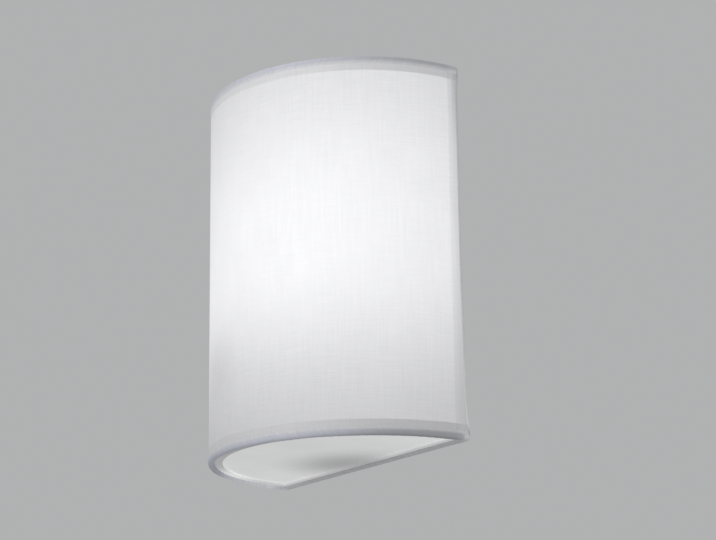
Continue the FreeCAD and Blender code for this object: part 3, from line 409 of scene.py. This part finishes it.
class Surface:
    """A principled material and short names for the nodes that feed it."""

    def __init__(self, name, roughness=0.5, metallic=0.0):
        self.material = bpy.data.materials.new(name)
        self.material.use_nodes = True
        self.tree = self.material.node_tree
        self.shader = self.tree.nodes["Principled BSDF"]
        self.shader.inputs["Roughness"].default_value = roughness
        self.shader.inputs["Metallic"].default_value = metallic
        self.place = self.node("ShaderNodeTexCoord").outputs["Object"]

    def node(self, kind):
        return self.tree.nodes.new(kind)

    def link(self, value, socket):
        if isinstance(value, bpy.types.NodeSocket):
            self.tree.links.new(value, socket)
        else:
            socket.default_value = value

    def math(self, operation, a, b=0.0):
        node = self.node("ShaderNodeMath")
        node.operation = operation
        self.link(a, node.inputs[0])
        self.link(b, node.inputs[1])
        return node.outputs[0]

    def times(self, value, *others):
        for other in others:
            value = self.math("MULTIPLY", value, other)
        return value

    def plus(self, value, *others):
        for other in others:
            value = self.math("ADD", value, other)
        return value

    def minus(self, a, b):
        return self.math("SUBTRACT", a, b)

    def over(self, a, b):
        return self.math("DIVIDE", a, b)

    def absolute(self, value):
        return self.math("ABSOLUTE", value)

    def vector(self, operation, a, b=(0, 0, 0)):
        node = self.node("ShaderNodeVectorMath")
        node.operation = operation
        self.link(a, node.inputs[0])
        self.link(b, node.inputs[1])
        return node.outputs["Value" if operation in ("LENGTH", "DOT_PRODUCT") else "Vector"]

    def split(self, value):
        node = self.node("ShaderNodeSeparateXYZ")
        self.link(value, node.inputs[0])
        return node.outputs

    def join(self, x, y, z):
        node = self.node("ShaderNodeCombineXYZ")
        for value, socket in zip((x, y, z), node.inputs):
            self.link(value, socket)
        return node.outputs[0]

    def cloth_place(self):
        """The way along the cloth and its height, in metres."""
        node = self.node("ShaderNodeUVMap")
        node.uv_map = "UVMap"
        along, up, _ = self.split(node.outputs[0])
        return along, up

    def stretched(self, value, scale):
        node = self.node("ShaderNodeMapping")
        self.link(value, node.inputs["Vector"])
        node.inputs["Scale"].default_value = scale
        return node.outputs[0]

    def noise(self, value, scale, detail=3.0, rough=0.5):
        node = self.node("ShaderNodeTexNoise")
        self.link(value, node.inputs["Vector"])
        node.inputs["Scale"].default_value = scale
        node.inputs["Detail"].default_value = detail
        node.inputs["Roughness"].default_value = rough
        return node.outputs["Fac"]

    def linear(self, value, low, high, out_low=0.0, out_high=1.0, kind="LINEAR"):
        node = self.node("ShaderNodeMapRange")
        node.interpolation_type = kind
        self.link(value, node.inputs["Value"])
        for socket, number in zip(node.inputs[1:5], (low, high, out_low, out_high)):
            self.link(number, socket)
        return node.outputs["Result"]

    def smooth(self, value, low, high, out_low=0.0, out_high=1.0):
        return self.linear(value, low, high, out_low, out_high, "SMOOTHSTEP")

    def mix(self, factor, a, b):
        node = self.node("ShaderNodeMix")
        node.data_type = "RGBA"
        self.link(factor, node.inputs[0])
        for value, socket in ((a, node.inputs[6]), (b, node.inputs[7])):
            self.link(value if isinstance(value, bpy.types.NodeSocket) else (*value, 1), socket)
        return node.outputs[2]

    def bump(self, height, distance, strength=1.0, below=None):
        node = self.node("ShaderNodeBump")
        node.inputs["Distance"].default_value = distance
        node.inputs["Strength"].default_value = strength
        self.link(height, node.inputs["Height"])
        if below is not None:
            self.link(below, node.inputs["Normal"])
        return node.outputs["Normal"]

    def set(self, **values):
        for name, value in values.items():
            socket = self.shader.inputs[name.replace("_", " ")]
            if isinstance(value, tuple) and len(value) == 3:
                value = (*value, 1)
            self.link(value, socket)

    def shine(self, strength, colour=(1.0, 1.0, 1.0)):
        self.set(Emission_Color=colour, Emission_Strength=strength)


def scaled(colour, share):
    """The colour with each channel taken times share."""
    return tuple(channel * share for channel in colour)


# --------------------------------------------------------- cloth and its light

CLOTH_WHITE = (0.66, 0.66, 0.68)
# the rolled hems' faintly bluish cotton with painted light and shade: lit in front of the bulb,
# shaded at the sides, more so at the sides of the bottom loop, and at the rear of the bottom loop
TRIM_LIT_FRONT = (0.60, 0.615, 0.70)
TRIM_SHADED_SIDE = (0.36, 0.36, 0.385)
TRIM_SHADED_LOW = (0.30, 0.30, 0.325)
TRIM_SHADED_REAR = (0.58, 0.58, 0.59)
THREAD_PITCH = 0.52 * MM
HEM_THREAD_PITCH = 0.48 * MM
GLOW_REFERENCE = 121.5       # per square metre, on the curve 60 degrees from the side
GLOW_STRENGTH = 0.47
HOLDER_SHADOW = (226 * MM, -86 * MM)     # round the shade from its right edge, and up
HOLDER_SHADOW_SIZE = (48 * MM, 44 * MM)


def weave(s, along, up, pitch):
    """Height of a plain weave of that thread pitch, from the two directions in metres."""
    warp = s.math("SINE", s.times(along, 2 * math.pi / pitch))
    weft = s.math("SINE", s.times(up, 2 * math.pi / pitch))
    return s.times(s.plus(s.times(warp, weft), 1.0), 0.5)


def slubs(s, along, up):
    """Uneven threads: long thin streaks both ways, from 0 to 1."""
    level = s.noise(s.join(s.times(along, 40), s.times(up, 900), 0.0), 1.0, 3.0, 0.6)
    upright = s.noise(s.join(s.times(along, 900), s.times(up, 30), 3.7), 1.0, 3.0, 0.6)
    return s.times(s.plus(level, upright), 0.5)


def bulb_light_on_curve(s):
    """Cube root of the bulb's light on a place on the curve, seen from above, against that at 60
    degrees from the side edges: 0.76 at the side edges, 1.0 at 60 degrees from them and 1.08 right in
    front."""
    level = s.vector("MULTIPLY", s.place, (1, 1, 0))
    arm = s.vector("SUBTRACT", level, (BULB.x, BULB.y, 0))
    radial = s.vector("SUBTRACT", level, (0, AXIS_Y, 0))
    facing = s.over(s.vector("DOT_PRODUCT", arm, radial), RADIUS)
    received = s.over(facing, s.math("POWER", s.vector("LENGTH", arm), 3.0))
    return s.math("POWER", s.over(received, GLOW_REFERENCE), 1 / 3)


def lamp_glow(s):
    """Light from the bulb on the shade's inner face: near 1 in front of it, softer
    towards the side edges, the top, and most of all below the lampholder."""
    around = s.math("MINIMUM", bulb_light_on_curve(s), 1.0)
    z = s.split(s.place)[2]
    below = s.smooth(z, -160 * MM, -5 * MM, 0.22, 1.0)
    above = s.smooth(z, 20 * MM, 190 * MM, 1.0, 0.45)
    return s.times(around, s.times(below, above))


def end_share(s, front):
    """Share of the glow that passes the doubled cloth at the top and bottom edges."""
    at_side = s.smooth(s.split(s.place)[2], -50 * MM, 50 * MM, 0.30, 0.52)
    return s.linear(front, 0.0, 1.0, at_side, 0.72)


def passed(s, share, single):
    """That share in a doubled band, and all the light where the cloth is single."""
    return s.plus(share, s.times(single, s.minus(1.0, share)))


def shade_cloth_material():
    """White cotton over a translucent film, its light from behind painted on as a glow, with painted
    shade where it is doubled.
    """
    s = Surface("white cotton, lit", roughness=0.82)
    along, up = s.cloth_place()
    threads = weave(s, along, up, THREAD_PITCH)
    uneven = slubs(s, along, up)
    cloud = s.noise(s.place, 28.0, 2.0)

    # distance from the side edges and the ends, and where the cloth is single
    from_edge = s.minus(HALF_LENGTH, s.absolute(s.minus(along, HALF_LENGTH)))
    from_end = s.minus(TOP, s.absolute(up))
    wobble = s.times(s.minus(s.noise(s.place, 60.0, 2.0), 0.5), 0.8 * MM)
    single_side = s.smooth(s.plus(from_edge, wobble), SIDE_BAND - 0.7 * MM, SIDE_BAND + 0.1 * MM)
    single_end = s.smooth(s.plus(from_end, wobble), END_BAND - 0.6 * MM, END_BAND + 0.3 * MM)

    # the bulb's light, less where the lampholder stands before it
    glow = s.times(lamp_glow(s), s.linear(uneven, 0.4, 0.6, 0.965, 1.035))
    glow = s.times(glow, s.linear(cloud, 0.3, 0.7, 0.98, 1.02))
    sideways = s.over(s.minus(along, HOLDER_SHADOW[0]), HOLDER_SHADOW_SIZE[0])
    upwards = s.over(s.minus(up, HOLDER_SHADOW[1]), HOLDER_SHADOW_SIZE[1])
    off = s.vector("LENGTH", s.join(sideways, upwards, 0.0))
    glow = s.times(glow, s.smooth(off, 0.0, 1.0, 0.74, 1.0))

    # what passes the doubled bands
    front = s.smooth(bulb_light_on_curve(s), 0.80, 1.05)
    hem = s.smooth(from_edge, 3 * MM, 11 * MM, 1.0, 0.0)
    high = s.smooth(up, 70 * MM, 138 * MM)
    at_end = s.plus(end_share(s, front), s.times(hem, 0.28))
    at_edge = s.linear(high, 0.0, 1.0, 0.62, 0.44)
    at_side = s.smooth(from_edge, 2.4 * MM, 9.0 * MM, at_edge, 0.85)
    bands = s.times(passed(s, at_end, single_end), passed(s, at_side, single_side))
    s.shine(s.times(glow, GLOW_STRENGTH, bands))

    # painted shade: the base colour darker on the doubled bands, on those at the ends only away from
    # the bulb, and most near the side edges high up
    band_shade = s.times(s.minus(1.0, single_end), s.linear(front, 0.0, 1.0, 0.16, 0.0))
    band_shade = s.times(band_shade, s.linear(hem, 0.0, 1.0, 1.0, 0.45))
    band_shade = s.plus(band_shade, s.linear(single_side, 0.0, 1.0, 0.07, 0.0))
    band_shade = s.plus(band_shade, s.times(high, s.smooth(from_edge, 2.4 * MM, 7.5 * MM, 0.13, 0.0)))
    white = s.mix(s.linear(uneven, 0.4, 0.6), scaled(CLOTH_WHITE, 0.965), scaled(CLOTH_WHITE, 1.02))
    s.set(Base_Color=s.mix(band_shade, white, (0, 0, 0)))

    # threads, and small gathers along the side hems, strongest at the ends
    gathers = s.noise(s.join(s.times(along, 520), s.times(up, 40), 1.3), 1.0, 2.0)
    gathers = s.times(gathers, s.times(hem, s.smooth(from_end, 4 * MM, 22 * MM, 1.0, 0.12)))
    fine = s.bump(s.plus(s.times(threads, 0.6), s.times(uneven, 0.8)), 0.10 * MM, 0.35)
    s.set(Normal=s.bump(gathers, 1.0 * MM, 0.6, fine))
    s.set(Sheen_Weight=0.12, Sheen_Roughness=0.5)
    return s.material


def lining_material():
    """Satin film behind the cloth, with the bulb's light painted on as a glow, brighter where the
    bulb is near.
    """
    s = Surface("satin backing film", roughness=0.55)
    cloud = s.noise(s.place, 45.0, 3.0)
    s.set(Base_Color=s.mix(cloud, (0.66, 0.66, 0.65), (0.70, 0.70, 0.69)))
    s.shine(s.times(lamp_glow(s), 0.42), (1.0, 0.99, 0.97))
    s.set(Normal=s.bump(s.noise(s.place, 900.0, 3.0), 0.03 * MM, 0.3))
    return s.material


def hem_relief(s, along, up, crease):
    """Fine weave, creases and a little fuzz on the hems."""
    threads = weave(s, along, up, HEM_THREAD_PITCH)
    height = s.plus(s.times(threads, 0.4), s.times(crease, 1.6))
    s.set(Normal=s.bump(height, 0.2 * MM, 0.5))
    s.set(Sheen_Weight=0.15, Sheen_Roughness=0.5)


def trim_material():
    """Folded white cotton round the loops, faintly bluish where it turns away from the lit cloth and
    like the cloth beside it where it swells out of it, with painted shade: darker away from the bulb,
    low at the sides and in the creases."""
    s = Surface("rolled white cotton", roughness=0.86)
    along, up = s.cloth_place()
    slanted = s.join(s.plus(along, s.times(up, 0.8)), s.times(up, 0.35), 0.0)
    crease = s.noise(slanted, 420.0, 3.0, 0.6)
    hem_relief(s, along, up, crease)
    front = s.smooth(bulb_light_on_curve(s), 0.78, 1.05)
    x, y, z = s.split(s.place)
    turned = s.smooth(s.absolute(z), 145.0 * MM, 149.0 * MM)
    lower = s.smooth(z, 0.0, -50 * MM)
    chord = s.times(s.smooth(y, -11 * MM, -6 * MM), lower)

    # painted shade: darker at the sides and more so at the sides of the bottom loop, set apart at the
    # rear of the bottom loop, and beside the cloth darker away from the bulb
    low_side = s.times(lower, s.smooth(front, 0.1, 0.7, 1.0, 0.0))
    cool_tint_and_shade = s.mix(front, s.mix(low_side, TRIM_SHADED_SIDE, TRIM_SHADED_LOW), TRIM_LIT_FRONT)
    cool_tint_and_shade = s.mix(chord, cool_tint_and_shade, TRIM_SHADED_REAR)
    beside = s.mix(front, scaled(CLOTH_WHITE, 0.84), CLOTH_WHITE)
    tone_and_shade = s.mix(turned, beside, cool_tint_and_shade)
    # painted shade in the creases: the colour up to a tenth of the way to a dark grey
    s.set(Base_Color=s.mix(s.linear(crease, 0.3, 0.7, 0.10, 0.0), tone_and_shade, (0.12, 0.12, 0.16)))

    # light through the cloth, at the corners, and spilling on the underside by the wall
    end_glow = s.times(lamp_glow(s), GLOW_STRENGTH, end_share(s, front))
    light = s.times(end_glow, s.linear(turned, 0.0, 1.0, 1.0, 0.45))
    corner = s.times(s.smooth(s.absolute(x), 118 * MM, 122 * MM), s.smooth(y, -18 * MM, -9 * MM))
    light = s.plus(light, s.times(corner, 0.06))
    under = s.smooth(z, -149.5 * MM, -147 * MM, 1.0, 0.0)
    spill = s.times(s.smooth(y, -80 * MM, -20 * MM), 0.045)
    left = s.times(s.smooth(y, -110 * MM, -70 * MM), s.smooth(x, -124 * MM, -70 * MM, 0.30, 0.0),
                   s.smooth(y, -22 * MM, 0.0, 1.0, 0.0))
    light = s.plus(light, s.times(under, s.plus(spill, left, 0.02)))
    s.shine(s.times(light, s.linear(crease, 0.3, 0.7, 0.88, 1.12)), (0.95, 0.96, 1.0))
    return s.material


def fold_material():
    """The folded side edge: the same cotton, neutral, greyer than the cloth as painted shade, and
    faintly lit by painted light.
    """
    s = Surface("folded white cotton", roughness=0.86)
    along, up = s.cloth_place()
    crease = s.noise(s.stretched(s.place, (1, 1, 0.35)), 300.0, 3.0, 0.6)
    hem_relief(s, along, up, crease)
    # painted shade: the cotton grey, varying with the creases
    s.set(Base_Color=s.mix(crease, (0.47, 0.47, 0.475), (0.52, 0.52, 0.525)))
    z = s.split(s.place)[2]
    above = s.smooth(z, 60 * MM, 150 * MM, 0.10, 0.03)
    below = s.smooth(z, -140 * MM, -50 * MM, 0.07, 0.0)
    s.shine(s.times(s.plus(above, below), s.linear(crease, 0.3, 0.7, 0.85, 1.15)))
    return s.material


# ------------------------------------------------------------- other materials

def moulded(name, colour, roughness, grain, depth, vary=0.05, coat=0.0):
    """Moulded plastic, rubber or ceramic: faint mottling and a fine grain."""
    s = Surface(name, roughness=roughness)
    mottle = s.noise(s.place, 140.0, 3.0)
    s.set(Base_Color=s.mix(mottle, scaled(colour, 1 - vary), colour))
    s.set(Roughness=s.linear(mottle, 0.3, 0.7, roughness - 0.04, roughness + 0.06))
    s.set(Normal=s.bump(s.noise(s.place, grain, 3.0), depth, 0.4))
    if coat:
        s.set(Coat_Weight=coat, Coat_Roughness=0.12)
    return s.material


def metal(name, colour, roughness, stretch, vary=0.12):
    """Drawn, plated or turned metal: streaks along the stretch and slight tarnish."""
    s = Surface(name, roughness=roughness, metallic=1.0)
    streaks = s.noise(s.stretched(s.place, stretch), 1.0, 4.0, 0.6)
    tarnish = s.noise(s.place, 90.0, 3.0)
    shade = s.times(s.plus(streaks, tarnish), 0.5)
    s.set(Base_Color=s.mix(shade, scaled(colour, 1 - vary), colour))
    s.set(Roughness=s.linear(streaks, 0.3, 0.7, roughness - 0.06, roughness + 0.1))
    s.set(Normal=s.bump(streaks, 0.03 * MM, 0.25))
    return s.material


def powder_coat(name, colour):
    """White powder coat with its fine orange-peel texture."""
    s = Surface(name, roughness=0.42)
    peel = s.noise(s.place, 900.0, 2.0)
    patch = s.noise(s.place, 50.0, 3.0)
    s.set(Base_Color=s.mix(patch, scaled(colour, 0.95), colour))
    s.set(Roughness=s.linear(patch, 0.3, 0.7, 0.36, 0.48))
    s.set(Normal=s.bump(peel, 0.06 * MM, 0.35))
    return s.material


def insulation(name, colour, stripe=None):
    """Extruded wire insulation, with a stripe of a second colour where it has one."""
    s = Surface(name, roughness=0.38)
    mottle = s.noise(s.place, 300.0, 2.0)
    base = s.mix(mottle, scaled(colour, 0.88), colour)
    if stripe:
        x, _, z = s.split(s.place)
        turn = s.math("SINE", s.plus(s.times(x, 2600), s.times(z, 260)))
        base = s.mix(s.smooth(turn, -0.1, 0.1), base, stripe)
    s.set(Base_Color=base)
    s.set(Normal=s.bump(s.noise(s.place, 1400.0, 2.0), 0.02 * MM, 0.3))
    return s.material


def opal_plate():
    """Opal diffuser: even light with the soft shadow of the arm near the wall."""
    s = Surface("opal acrylic", roughness=0.38)
    x, y, _ = s.split(s.place)
    dx = s.over(s.plus(x, 15 * MM), 62 * MM)
    dy = s.over(s.plus(y, 21 * MM), 52 * MM)
    far = s.math("SQRT", s.plus(s.times(dx, dx), s.times(dy, dy)))
    shadow = s.smooth(far, 0.0, 1.15, 0.24, 1.0)
    cloud = s.noise(s.place, 24.0, 2.0)
    light = s.times(shadow, s.linear(cloud, 0.3, 0.7, 0.285, 0.305))
    s.shine(s.times(light, s.smooth(s.absolute(x), 30 * MM, 105 * MM, 1.0, 1.13)))
    s.set(Base_Color=s.mix(cloud, (0.72, 0.72, 0.72), (0.75, 0.75, 0.75)))
    s.set(Normal=s.bump(s.noise(s.place, 700.0, 2.0), 0.02 * MM, 0.3))
    return s.material


def ledge_plastic():
    """White plastic ledge, lit through from above, more so at the left and by the wall."""
    s = Surface("white ledge plastic", roughness=0.42)
    mottle = s.noise(s.place, 140.0, 3.0)
    s.set(Base_Color=s.mix(mottle, (0.69, 0.69, 0.70), (0.72, 0.72, 0.73)))
    s.set(Normal=s.bump(s.noise(s.place, 700.0, 3.0), 0.04 * MM, 0.4))
    x, y, _ = s.split(s.place)
    level = s.times(s.smooth(x, -105 * MM, 70 * MM, 0.24, 0.02),
                    s.smooth(y, -110 * MM, -20 * MM, 0.55, 1.0))
    left = s.times(s.smooth(y, -115 * MM, -80 * MM), s.smooth(x, -110 * MM, -60 * MM, 0.30, 0.0),
                   s.smooth(y, -80 * MM, -30 * MM, 1.0, 0.0))
    right = s.times(s.smooth(y, -24 * MM, -12 * MM), s.smooth(x, -5 * MM, 45 * MM, 0.0, 0.19))
    s.shine(s.plus(level, s.plus(left, right)))
    return s.material


def lit_globe():
    """Opal globe of the bulb, brighter over the chips than at its neck."""
    s = Surface("opal globe, lit", roughness=0.3)
    z = s.split(s.place)[2]
    cloud = s.noise(s.place, 60.0, 2.0)
    level = s.smooth(z, -5 * MM, 45 * MM, 0.24, 0.44)
    s.set(Base_Color=s.mix(cloud, (0.66, 0.66, 0.65), (0.70, 0.70, 0.69)))
    s.shine(s.times(level, s.linear(cloud, 0.3, 0.7, 0.95, 1.05)), (1.0, 0.985, 0.96))
    return s.material


def phosphor():
    """Yellow face of the lit chips."""
    s = Surface("phosphor", roughness=0.45)
    grain = s.noise(s.place, 1500.0, 2.0)
    s.set(Base_Color=s.mix(grain, (0.85, 0.72, 0.25), (0.93, 0.83, 0.36)))
    s.shine(s.linear(grain, 0.3, 0.7, 1.6, 2.2), (1.0, 0.95, 0.82))
    return s.material


def make_materials():
    """One finish for each material slot of the record, and one more for the side folds."""
    green, yellow = (0.05, 0.30, 0.05), (0.85, 0.72, 0.05)
    return {
        "side_fold": fold_material(),
        "white_cotton": shade_cloth_material(),
        "shade_backing": lining_material(),
        "hem_cotton": trim_material(),
        "opal_acrylic": opal_plate(),
        "white_plastic": ledge_plastic(),
        "white_paint": powder_coat("white powder coat", (0.76, 0.76, 0.755)),
        "black_rubber": moulded("black rubber", (0.035, 0.035, 0.036), 0.72, 1200.0, 0.06 * MM, 0.25),
        "rivet_alloy": metal("rivet alloy", (0.80, 0.80, 0.81), 0.34, (900, 900, 120)),
        "zinc_steel": metal("zinc plated steel", (0.66, 0.67, 0.69), 0.32, (500, 500, 500)),
        "holder_plastic": moulded("gloss white holder", (0.77, 0.77, 0.765), 0.24, 300.0, 0.02 * MM,
                                  0.03, coat=0.3),
        "core_ceramic": moulded("unglazed ceramic", (0.72, 0.70, 0.66), 0.68, 1500.0, 0.06 * MM, 0.1),
        "contact_brass": metal("brass", (0.80, 0.60, 0.28), 0.28, (700, 700, 160), 0.18),
        "bulb_opal": lit_globe(),
        "bulb_plastic": moulded("bulb housing", (0.80, 0.80, 0.80), 0.36, 500.0, 0.02 * MM, 0.03),
        "board_white": moulded("board mask", (0.74, 0.75, 0.74), 0.46, 800.0, 0.02 * MM, 0.04),
        "chip_phosphor": phosphor(),
        "cap_nickel": metal("nickel plate", (0.72, 0.70, 0.66), 0.2, (60, 60, 900), 0.1),
        "black_glass": moulded("black glass", (0.02, 0.02, 0.024), 0.16, 400.0, 0.02 * MM,
                               0.3, coat=0.5),
        "block_nylon": moulded("block nylon", (0.70, 0.70, 0.67), 0.5, 900.0, 0.04 * MM, 0.06),
        "brown_insulation": insulation("brown insulation", (0.16, 0.055, 0.022)),
        "blue_insulation": insulation("blue insulation", (0.025, 0.10, 0.42)),
        "green_insulation": insulation("green and yellow insulation", green, yellow),
    }


def dress(piece, material):
    """Gives the whole piece one material."""
    piece.data.materials.clear()
    piece.data.materials.append(material)
    piece.data.polygons.foreach_set("material_index", [0] * len(piece.data.polygons))


# ----------------------------------------------------------------- the object

def make_pieces(finish):
    """The soft pieces of the shade; gives the names of the plain solids they replace."""
    cloth = skin("shade_fabric", 0.0, CLOTH_REACH, CLOTH_THICK, z_steps=116, arc_steps=220)
    lining = skin("shade_lining", LINER_INSET, LINER_TOP, LINER_THICK, z_steps=58, arc_steps=160)
    top = make_loop_hem("top_rolled_hem", 1, 11)
    bottom = make_loop_hem("bottom_rolled_hem", -1, 23)
    right = make_side_hem("right_folded_hem", 1, 31)
    left = make_side_hem("left_folded_hem", -1, 47)
    made = [
        (cloth, "shade_cloth", "white_cotton"),
        (lining, "shade_liner", "shade_backing"),
        (top, "top_hem", "hem_cotton"),
        (bottom, "bottom_hem", "hem_cotton"),
        (right, "right_side_hem", "hem_cotton"),
        (left, "left_side_hem", "hem_cotton"),
    ]
    for piece, node, slot in made:
        draw_out_corners(piece)
        dress(piece, finish["side_fold"] if piece in (right, left) else finish[slot])
        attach(piece, "shade")
        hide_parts(node)
    return {node for _, node, _ in made}


def dress_nodes(finish, replaced):
    """The solids that stay get the finish of their slot."""
    for part in frame["record"]["subparts"]:
        if part["node"] not in replaced:
            dress(NODES[part["node"]], finish[part["material_slot"]])


# --------------------------------------------------------------- studio, camera

BACKGROUND = (0.44, 0.443, 0.447)
WORLD_LIGHT = 0.50
FLOOR_Z = -1.9
FLOOR_HALF = 12.0
LIGHT_SIZE = 2.0
AIM = (0, -0.06, 0)
LENS = 109.25                # in millimetres, for a sensor 36 mm wide
CAMERA_PLACE = (1.391705, -1.015093, -0.477835)
CAMERA_RIGHT = (0.580723, 0.814012, -0.012070)
CAMERA_UP = (0.230152, -0.149935, 0.961535)
CAMERA_BACK = (0.780891, -0.561164, -0.274416)


def make_world():
    """Soft even light; the camera, gloss and glass see a plain pale colour."""
    world = bpy.data.worlds.new("studio")
    bpy.context.scene.world = world
    world.use_nodes = True
    tree = world.node_tree
    tree.nodes.clear()
    path = tree.nodes.new("ShaderNodeLightPath")
    seen = path.outputs["Is Camera Ray"]
    for ray in ("Is Glossy Ray", "Is Transmission Ray"):
        either = tree.nodes.new("ShaderNodeMath")
        either.operation = "MAXIMUM"
        tree.links.new(seen, either.inputs[0])
        tree.links.new(path.outputs[ray], either.inputs[1])
        seen = either.outputs[0]
    light = tree.nodes.new("ShaderNodeBackground")
    light.inputs["Color"].default_value = (1, 1, 1, 1)
    light.inputs["Strength"].default_value = WORLD_LIGHT
    plain = tree.nodes.new("ShaderNodeBackground")
    plain.inputs["Color"].default_value = (*BACKGROUND, 1)
    mix = tree.nodes.new("ShaderNodeMixShader")
    tree.links.new(seen, mix.inputs[0])
    tree.links.new(light.outputs[0], mix.inputs[1])
    tree.links.new(plain.outputs[0], mix.inputs[2])
    out = tree.nodes.new("ShaderNodeOutputWorld")
    tree.links.new(mix.outputs[0], out.inputs["Surface"])


def make_floor():
    """A plain pale floor far below the wall light."""
    def build(bm, uv):
        steps = 12
        marks = [-FLOOR_HALF + 2 * FLOOR_HALF * i / steps for i in range(steps + 1)]
        rows = [[Vector((x, y, FLOOR_Z)) for x in marks] for y in marks]
        coords = [[(p.x, p.y) for p in row] for row in rows]
        add_grid(bm, uv, rows, coords)
    floor = mesh_object("studio_floor", build)
    s = Surface("pale floor", roughness=0.9)
    cloud = s.noise(s.place, 0.6, 2.0)
    seen = s.node("ShaderNodeLightPath").outputs["Is Camera Ray"]
    plain = s.mix(cloud, (0.60, 0.605, 0.61), (0.62, 0.625, 0.63))
    paler = s.mix(cloud, (0.80, 0.806, 0.813), (0.82, 0.826, 0.833))
    s.set(Base_Color=s.mix(seen, plain, paler))
    dress(floor, s.material)


def area_light(name, place, power):
    """A round soft lamp that looks at the shade."""
    data = bpy.data.lights.new(name, "AREA")
    data.shape = "DISK"
    data.size = LIGHT_SIZE
    data.energy = power
    lamp = bpy.data.objects.new(name, data)
    lamp.location = place
    lamp.rotation_euler = (Vector(AIM) - Vector(place)).to_track_quat("-Z", "Y").to_euler()
    bpy.context.scene.collection.objects.link(lamp)


def make_camera():
    """Below and to the right of the light, looking up at it."""
    data = bpy.data.cameras.new("camera")
    data.sensor_width = 36.0
    data.lens = LENS
    data.clip_start = 0.05
    data.clip_end = 60.0
    camera = bpy.data.objects.new("camera", data)
    turn = Matrix((CAMERA_RIGHT, CAMERA_UP, CAMERA_BACK)).transposed().to_4x4()
    camera.matrix_world = Matrix.Translation(CAMERA_PLACE) @ turn
    bpy.context.scene.collection.objects.link(camera)
    bpy.context.scene.camera = camera


finishes = make_materials()
dress_nodes(finishes, make_pieces(finishes))
make_world()
make_floor()
area_light("key", (2.3, -1.9, 1.3), 38)
area_light("fill", (-2.2, -1.8, 0.6), 4)
make_camera()
bpy.context.scene.view_settings.view_transform = "Standard"
